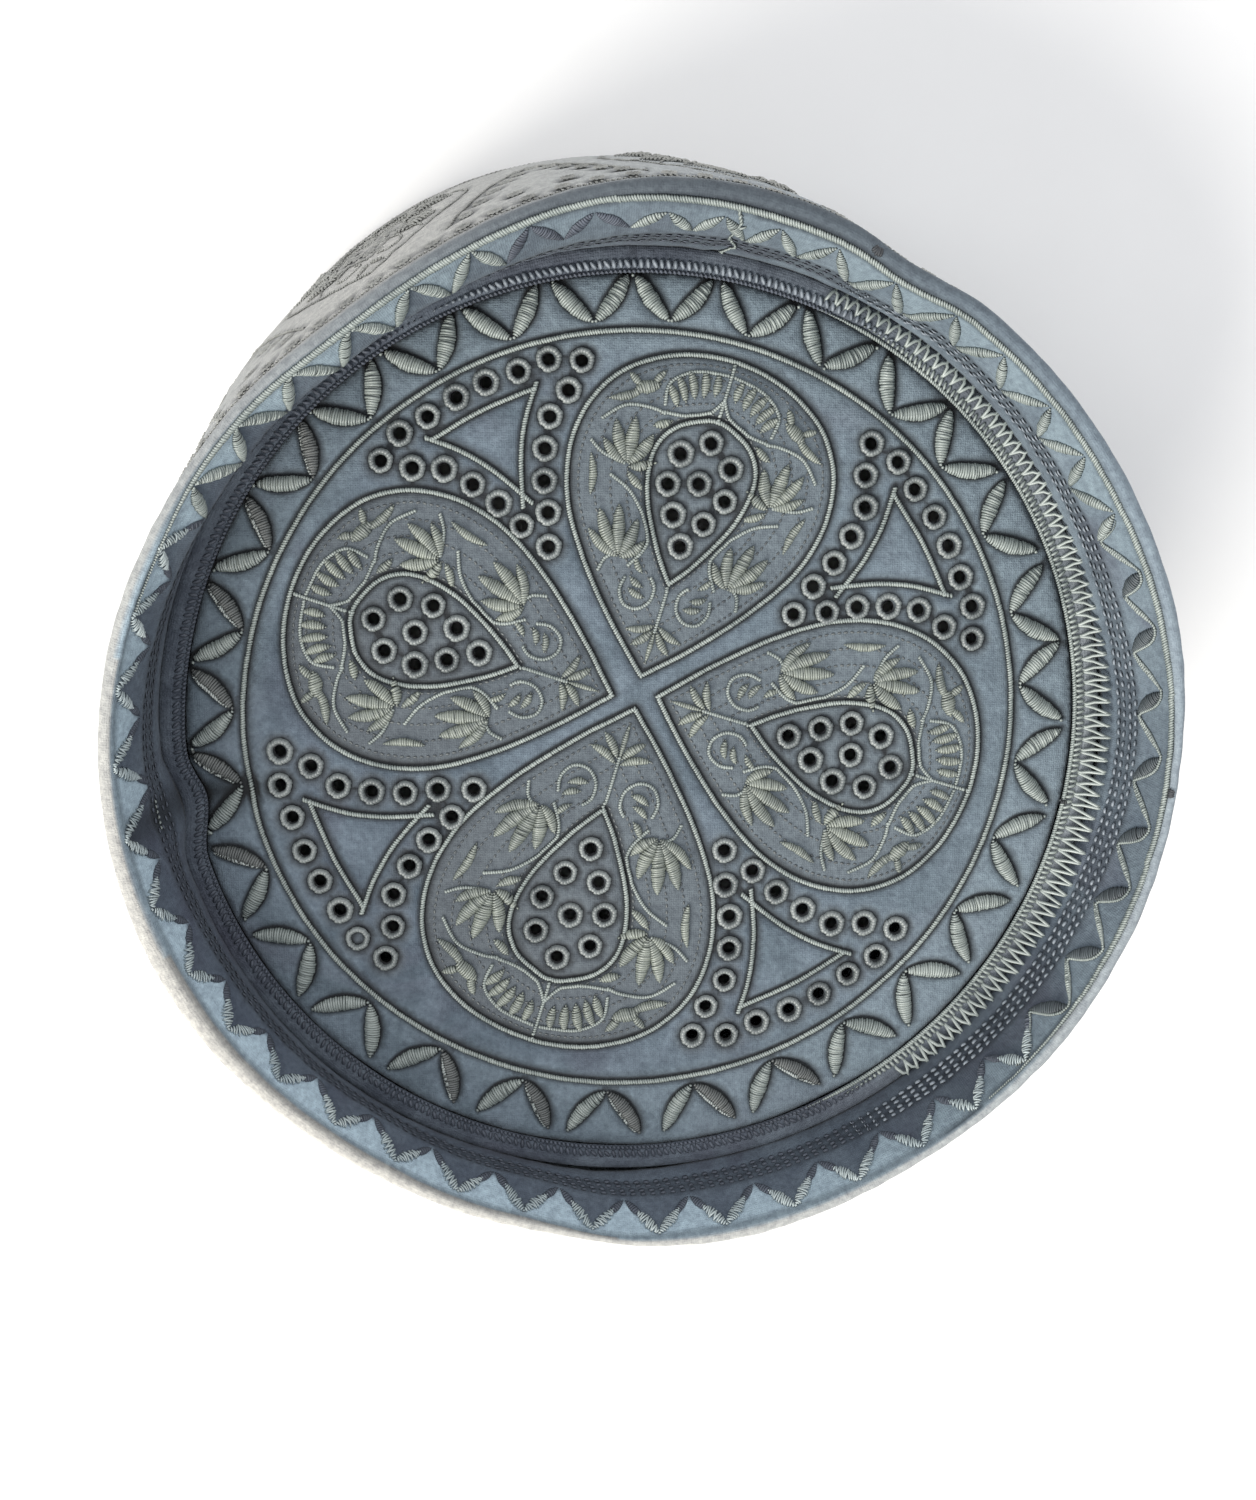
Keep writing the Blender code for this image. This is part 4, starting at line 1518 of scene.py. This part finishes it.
rubbed_thread = cotton_thread("rubbed_cotton_thread", "#b9c3c2", "#8c9a9e", roughness=0.6)
stitch(
    "rim_leaves_frayed", frayed_leaves, band_cloth, rubbed_thread, 36, pitch=0.44, thread=0.44,
    rise=0.42, rise_by_width=0.35, slant=0.25, wander=0.4,
)

# Dark copies of the thread as painted shade; the pair at the back is drawn darker with them.
right_shade_thread = cotton_thread("dull_cotton_thread", "#475054", "#2f363a", roughness=0.6)
thread_in_painted_shade = cotton_thread("soiled_cotton_thread", "#4d5460", "#353b46", roughness=0.7)
for name, paths, thread, seed in (
    ("rim_leaves_dulled", right_shaded_leaves, right_shade_thread, 38),
    ("rim_leaves_soiled", shaded_leaves, thread_in_painted_shade, 35),
):
    stitch(name, paths, band_cloth, thread, seed, rise=0.16, rise_by_width=0.4, **SATIN)


def painted_highlight_up(angle):
    """Height of the painted highlight along the leaves at the right, a pale line which swings round
    each leaf in painted shade.
    """
    before = max(tip for tip in RIM_LEAVES if tip <= angle)
    after = min(tip for tip in RIM_LEAVES if tip > angle)
    place = (angle - before) / (after - before)
    swing = 1.75 if place < 0.5 else 0.35
    return zigzag(angle) - 0.2 - swing * math.sin(2 * math.pi * place % math.pi)


# Painted highlight: a pale line along the rim side of the leaves at the right.
stitch(
    "rim_leaf_outline", [part_path(painted_highlight_up, 64, 131, 0.34, 3.0, 0.4)], band_cloth, pale_thread,
    39, rise=0.42, slant=0.5,
)

row_thread = cotton_thread("row_cotton_thread", "#8b939b", "#555f68", roughness=0.55)
# The rows round the front, the left and the back are drawn in the thread of painted shade.
for name, first, last, width, thread, rise, seed in (
    ("slope_rows", 24, 152, 0.68, row_thread, 0.46, 41),
    ("slope_rows_soiled", 148, 386, 0.6, thread_in_painted_shade, 0.3, 42),
):
    paths = [part_path(lambda _, up=up: up, first, last, width) for up in STITCH_ROWS]
    stitch(
        name, paths, band_cloth, thread, seed, pitch=1.85, thread=0.85, rise=rise, slant=ACROSS,
        wander=0.3,
    )

# The wall's embroidery, the same as the crown's but smaller: bound lines, bound
# eyelets and leaves, with a bound line above and rows of stitches at the hem.

WALL_PROFILE = ((1.34, -0.12), (1.14, 0.14), (0.88, 0.10), (0.68, -0.9))
WALL_STITCHES = 10
ROUND_STEP = 0.5             # degrees from point to point of a row round the wall
wall_thread = cotton_thread("wall_cotton_thread", "#a0a19b", "#757672", roughness=0.5)
wall_binding = binding_shape("wall_binding", WALL_PROFILE, WALL_STITCHES)
bind_eyelets(
    "wall_eyelet_rings", [on_band(angle, up) for angle, up in wall_eyelets()],
    [band_out(angle, up) for angle, up in wall_eyelets()], wall_binding, WALL_STITCHES,
    wall_thread,
)

wall_cord_paths = [band_path(line, 0.42, closed) for line, closed in lines_of_wall]
wall_leaf_paths = []
for panel in range(PANELS):
    for line in drop_stems(WALL_STEP):
        wall_cord_paths.append(band_path([in_wall_drop(panel, *point) for point in line], 0.32))
    for line, width in drop_leaves([leaf for leaf in DROP_LEAVES if leaf.width > 0.8]):
        flat = [in_wall_drop(panel, *point) for point in line]
        wall_leaf_paths.append(band_path(flat, width * WALL_SCALE, tips=True))
stitch(
    "wall_cords", wall_cord_paths, band_cloth, wall_thread, 61, pitch=0.66, rise=0.34, slant=0.42
)
stitch(
    "wall_leaves", wall_leaf_paths, band_cloth, wall_thread, 67, pitch=0.66, thread=0.7, rise=0.28,
    rise_by_width=0.5, slant=0.15,
)
wall_row_paths = [
    band_path([(k * ROUND_STEP, up) for k in range(round(360 / ROUND_STEP))], 0.42, closed=True)
    for up in (WALL_LINE, *HEM_ROWS)
]
stitch(
    "wall_rows", wall_row_paths, band_cloth, wall_thread, 43, pitch=0.95, thread=0.7, rise=0.34,
    slant=0.42,
)

# The crown's seam: the raw edges of crown and band turned in together, pressed
# to a flat roll and overcast in pale thread, widest and neatest at the right.

ROLL_HALF_WIDTH = 2.4
ROLL_HALF_HEIGHT = 0.8
ROLL_RISE = 0.1
ROLL_SIDES = 12
ROLL_STEPS = 360
SEWN_GAP = 0.05
SEAM_STEP = 0.75             # degrees from point to point of a thread on it


def seam_point(angle, reach, rise):
    """Point beside the crown's edge."""
    x, y = polar(angle, crown_radius(angle))
    out_x, out_y = direction(angle)
    return Vector((x + reach * out_x, y + reach * out_y, crown_height(x, y) + rise)) * MM


def build_roll():
    places, charts, wears, faces = [], [], [], []
    for k in range(ROLL_STEPS):
        angle = k * 360 / ROLL_STEPS
        here, after = k * ROLL_SIDES, (k + 1) % ROLL_STEPS * ROLL_SIDES
        for side in range(ROLL_SIDES):
            turn = 2 * math.pi * side / ROLL_SIDES
            lump = 1 + 0.12 * noise.noise(Vector((angle * 0.35, side * 0.7, 3.0)))
            places.append(seam_point(
                angle, SEWN_GAP + ROLL_HALF_WIDTH * (1 + math.cos(turn)),
                ROLL_RISE + ROLL_HALF_HEIGHT * lump * math.sin(turn),
            ))
            charts.append((math.radians(angle) * CROWN_RADIUS, side * 0.9))
            # Painted light: the roll is paler at the right.
            wears.append(0.6 * near_angle(angle, 88, 45))
            above = (side + 1) % ROLL_SIDES
            faces.append((here + side, here + above, after + above, after + side))
    made = sheet_object("seam_roll", places, faces, charts, {
        "stitch_shade": [0.05] * len(places), "ground": [0.0] * len(places), "wear": wears,
    })
    made.data.materials.append(washed_cotton(
        "turned_edge_cotton", faded="#68717b", deep="#4a515c", ground="#6f757c",
        shade="#1b1a1a", worn_and_lit="#9aa0a2",
    ))
    return made


seam_roll = fix(build_roll(), "crown_seam")


def seam_path(first, last, reach, rise, width, fade=6.0):
    """Path along the seam between two angles."""
    angles = [first + k * SEAM_STEP for k in range(round((last - first) / SEAM_STEP) + 1)]
    widths = [narrowed(width, angle, first, last, fade) for angle in angles]
    return Path([seam_point(angle, reach, rise) for angle in angles], widths, False)


seam_cord = stitch(
    "seam_cord", [seam_path(24, 156, 0.1, 0.7, 0.56)], seam_roll, pale_thread, 47, rise=0.5,
    slant=0.5,
)
# Round the front, the left and the back, the seam's threads are drawn in the thread of painted
# shade.
stitch(
    "seam_cord_soiled", [seam_path(152, 388, 0.2, 0.65, 0.5, 3.0)], seam_roll, thread_in_painted_shade, 48,
    pitch=0.8, thread=0.62, rise=0.45, slant=0.6,
)
stitch(
    "seam_edge_stitches", [seam_path(30, 150, 1.1, 0.9, 0.95, 8.0)], seam_roll, pale_thread, 60,
    pitch=1.0, thread=0.7, rise=0.5, slant=0.25, wander=0.25,
)
stitch(
    "seam_edge_stitches_soiled", [seam_path(146, 332, 1.5, 0.9, 0.9, 8.0)], seam_roll,
    thread_in_painted_shade, 58, pitch=1.25, thread=0.7, rise=0.45, slant=0.5, wander=0.4,
)
stitch(
    "seam_edge_stitches_back", [seam_path(334, 396, 1.6, 0.9, 1.0, 8.0)], seam_roll, row_thread,
    57, pitch=1.2, thread=0.85, rise=0.6, slant=0.35, wander=0.3,
)

# Long strokes go to and fro from the roll up on to the slope. The seam's
# overlock thread is pulled into pairs of strokes, one pair in each step.
LADDER_START = 24
LADDER_STEP = 1.45
LADDER_PAIRS = 82
# How far up the slope the strokes reach at an angle.
LADDER_CLIMB = ((24, 0.2), (50, 1.0), (64, 2.2), (86, 4.2), (110, 4.4), (124, 3.0), (144, 1.4))


def ladder_climb(angle):
    for (here, low), (after, high) in zip(LADDER_CLIMB, LADDER_CLIMB[1:]):
        if angle <= after:
            return low + (high - low) * (angle - here) / (after - here)
    return high


def build_ladder():
    strokes = []
    for k in range(LADDER_PAIRS):
        middle = LADDER_START + (k + 0.5) * LADDER_STEP
        for side in (-1, 1):
            sway = [noise.noise(Vector((k * 1.7, side, j * 3.1))) for j in range(3)]
            low = middle + side * (0.44 + 0.2 * sway[0]) * LADDER_STEP
            high = middle + side * (0.06 + 0.2 * sway[1]) * LADDER_STEP
            up = BAND_END - ladder_climb(high) * (1 + 0.25 * sway[2])
            out = band_out(high, up)
            top = on_band(high, up) + out * (0.45 * MM)
            strokes.append(Path([
                seam_point(low, 1.9, 0.7), seam_point(low, 2.3, 1.25),
                seam_point(low + (high - low) * 0.45, 3.7, 1.6), top, top - out * (0.6 * MM),
            ], [0.2, 0.3, 0.32, 0.28, 0.15], False))
    made = curve_object("seam_ladder", strokes)
    made.data.bevel_depth = 1.0
    made.data.bevel_resolution = 1
    made = as_mesh(made)
    made.data.materials.append(pale_thread)
    return made


fix(build_ladder())

# The band's ends are joined at the back: a thread runs crookedly over the join
# from the rim to the crown's seam, and a loose end lies at the left crease.

crooked_thread = (
    (8.6, RIM_LINE), (9.4, STRIP_TOP + 2), (8.8, STRIP_FOOT), (10.4, STRIP_FOOT + 4),
    (9.6, BAND_END - 2.5), (10.2, BAND_END - 0.6),
)
caught_thread = ((8.3, STRIP_TOP + 3.6), (9.0, STRIP_TOP + 4.6), (9.6, STRIP_TOP + 3.4))
crease_thread = ((259.6, STRIP_FOOT + 2.0), (261.0, STRIP_FOOT + 2.6), (262.6, STRIP_FOOT + 2.2))
mending_paths = [
    band_path(flat, width)
    for flat, width in ((crooked_thread, 0.7), (caught_thread, 1.0), (crease_thread, 0.4))
]
stitch(
    "back_join_thread", mending_paths, band_cloth, pale_thread, 71, pitch=0.9, rise=0.5,
    slant=1.35, wander=0.25,
)

# Two small dark knots show on the rim and a dark tie crosses the seam's cord.
dark_thread = cotton_thread("dark_cotton_thread", "#2a2e33", "#191c20", roughness=0.7)
knot_paths = [
    band_path([(23.2, STRIP_TOP - 2.9), (23.6, STRIP_TOP - 2.7), (24.0, STRIP_TOP - 2.9)], 0.8),
    band_path([(94.7, STRIP_TOP - 1.9), (95.0, STRIP_TOP - 1.7), (95.3, STRIP_TOP - 1.9)], 0.7),
]
stitch("dark_knots", knot_paths, band_cloth, dark_thread, 73, pitch=0.3, rise=0.4)
tie_path = Path([seam_point(100.5, reach, 1.2) for reach in (-0.8, 0.2, 1.2)], [0.4] * 3, False)
stitch("dark_tie", [tie_path], seam_cord, dark_thread, 74, pitch=0.3, thread=0.5, rise=0.4)

for tool in (plain_stitch, padded_stitch, binding_stitch, wall_binding):
    bpy.data.objects.remove(tool, do_unlink=True)

# The setting: a plain pale floor, a broad soft light from the front left, a
# weaker one from behind it and one that a pale wall throws back from the right,
# and the camera above, as the cap was seen.

PHOTO_WIDTH = 1256
FOCAL_PIXELS = 1600
SENSOR = 36.0


def pale_floor():
    """Matt painted board, with a faint grain."""
    made, tree, shader = new_material("pale_floor_paint", {"Roughness": 0.7})
    places = add_node(tree, "ShaderNodeTexCoord").outputs["Object"]
    grain = add_node(tree, "ShaderNodeTexNoise", {"Vector": places, "Scale": 40.0, "Detail": 5.0})
    tone = add_node(tree, "ShaderNodeMix", {
        0: grain.outputs["Fac"], 6: colour("#f4f3f1"), 7: colour("#efeeec"),
    }, data_type="RGBA")
    tree.links.new(tone.outputs[2], shader.inputs["Base Color"])
    return made


floor_mesh = bpy.data.meshes.new("floor")
floor_mesh.from_pydata([(-3, -3, 0), (3, -3, 0), (3, 3, 0), (-3, 3, 0)], [], [(0, 1, 2, 3)])
floor_mesh.materials.append(pale_floor())
floor = set_out("floor", floor_mesh)


def soft_light(name, place, target, size, tint, watts):
    data = bpy.data.lights.new(name, "AREA")
    data.shape = "DISK"
    data.size = size
    data.color = tint
    data.energy = watts
    made = set_out(name, data)
    made.location = place
    made.rotation_euler = (Vector(target) - Vector(place)).to_track_quat("-Z", "Y").to_euler()


soft_light("window", (-1.24, -1.46, 1.38), (0.0, 0.0, 0.06), 1.6, (1.0, 0.97, 0.92), 82.0)
soft_light("far_window", (-1.30, 0.75, 1.58), (0.0, 0.0, 0.06), 1.4, (0.97, 0.98, 1.0), 12.0)
soft_light("pale_wall", (1.10, 1.05, 1.30), (0.15, 0.15, 0.0), 1.8, (0.99, 0.99, 1.0), 13.0)
world = bpy.data.worlds.new("pale_room")
world.use_nodes = True
world.node_tree.nodes["Background"].inputs["Color"].default_value = (0.93, 0.95, 1.0, 1.0)
world.node_tree.nodes["Background"].inputs["Strength"].default_value = 0.60
bpy.context.scene.world = world
bpy.context.scene.view_settings.view_transform = "Standard"

camera_data = bpy.data.cameras.new("camera")
camera_data.sensor_fit = "HORIZONTAL"
camera_data.sensor_width = SENSOR
camera_data.lens = SENSOR * FOCAL_PIXELS / PHOTO_WIDTH
camera_data.clip_start = 0.01
camera = set_out("camera", camera_data)
camera_right = Vector((0.99804, 0.00849, 0.06200))
camera_up = Vector((0.00849, 0.96322, -0.26857))
axes = (camera_right, camera_up, camera_right.cross(camera_up), (-0.0214, 0.0697, 0.3439))
camera.matrix_world = Matrix([*zip(*axes), (0, 0, 0, 1)])
bpy.context.scene.camera = camera
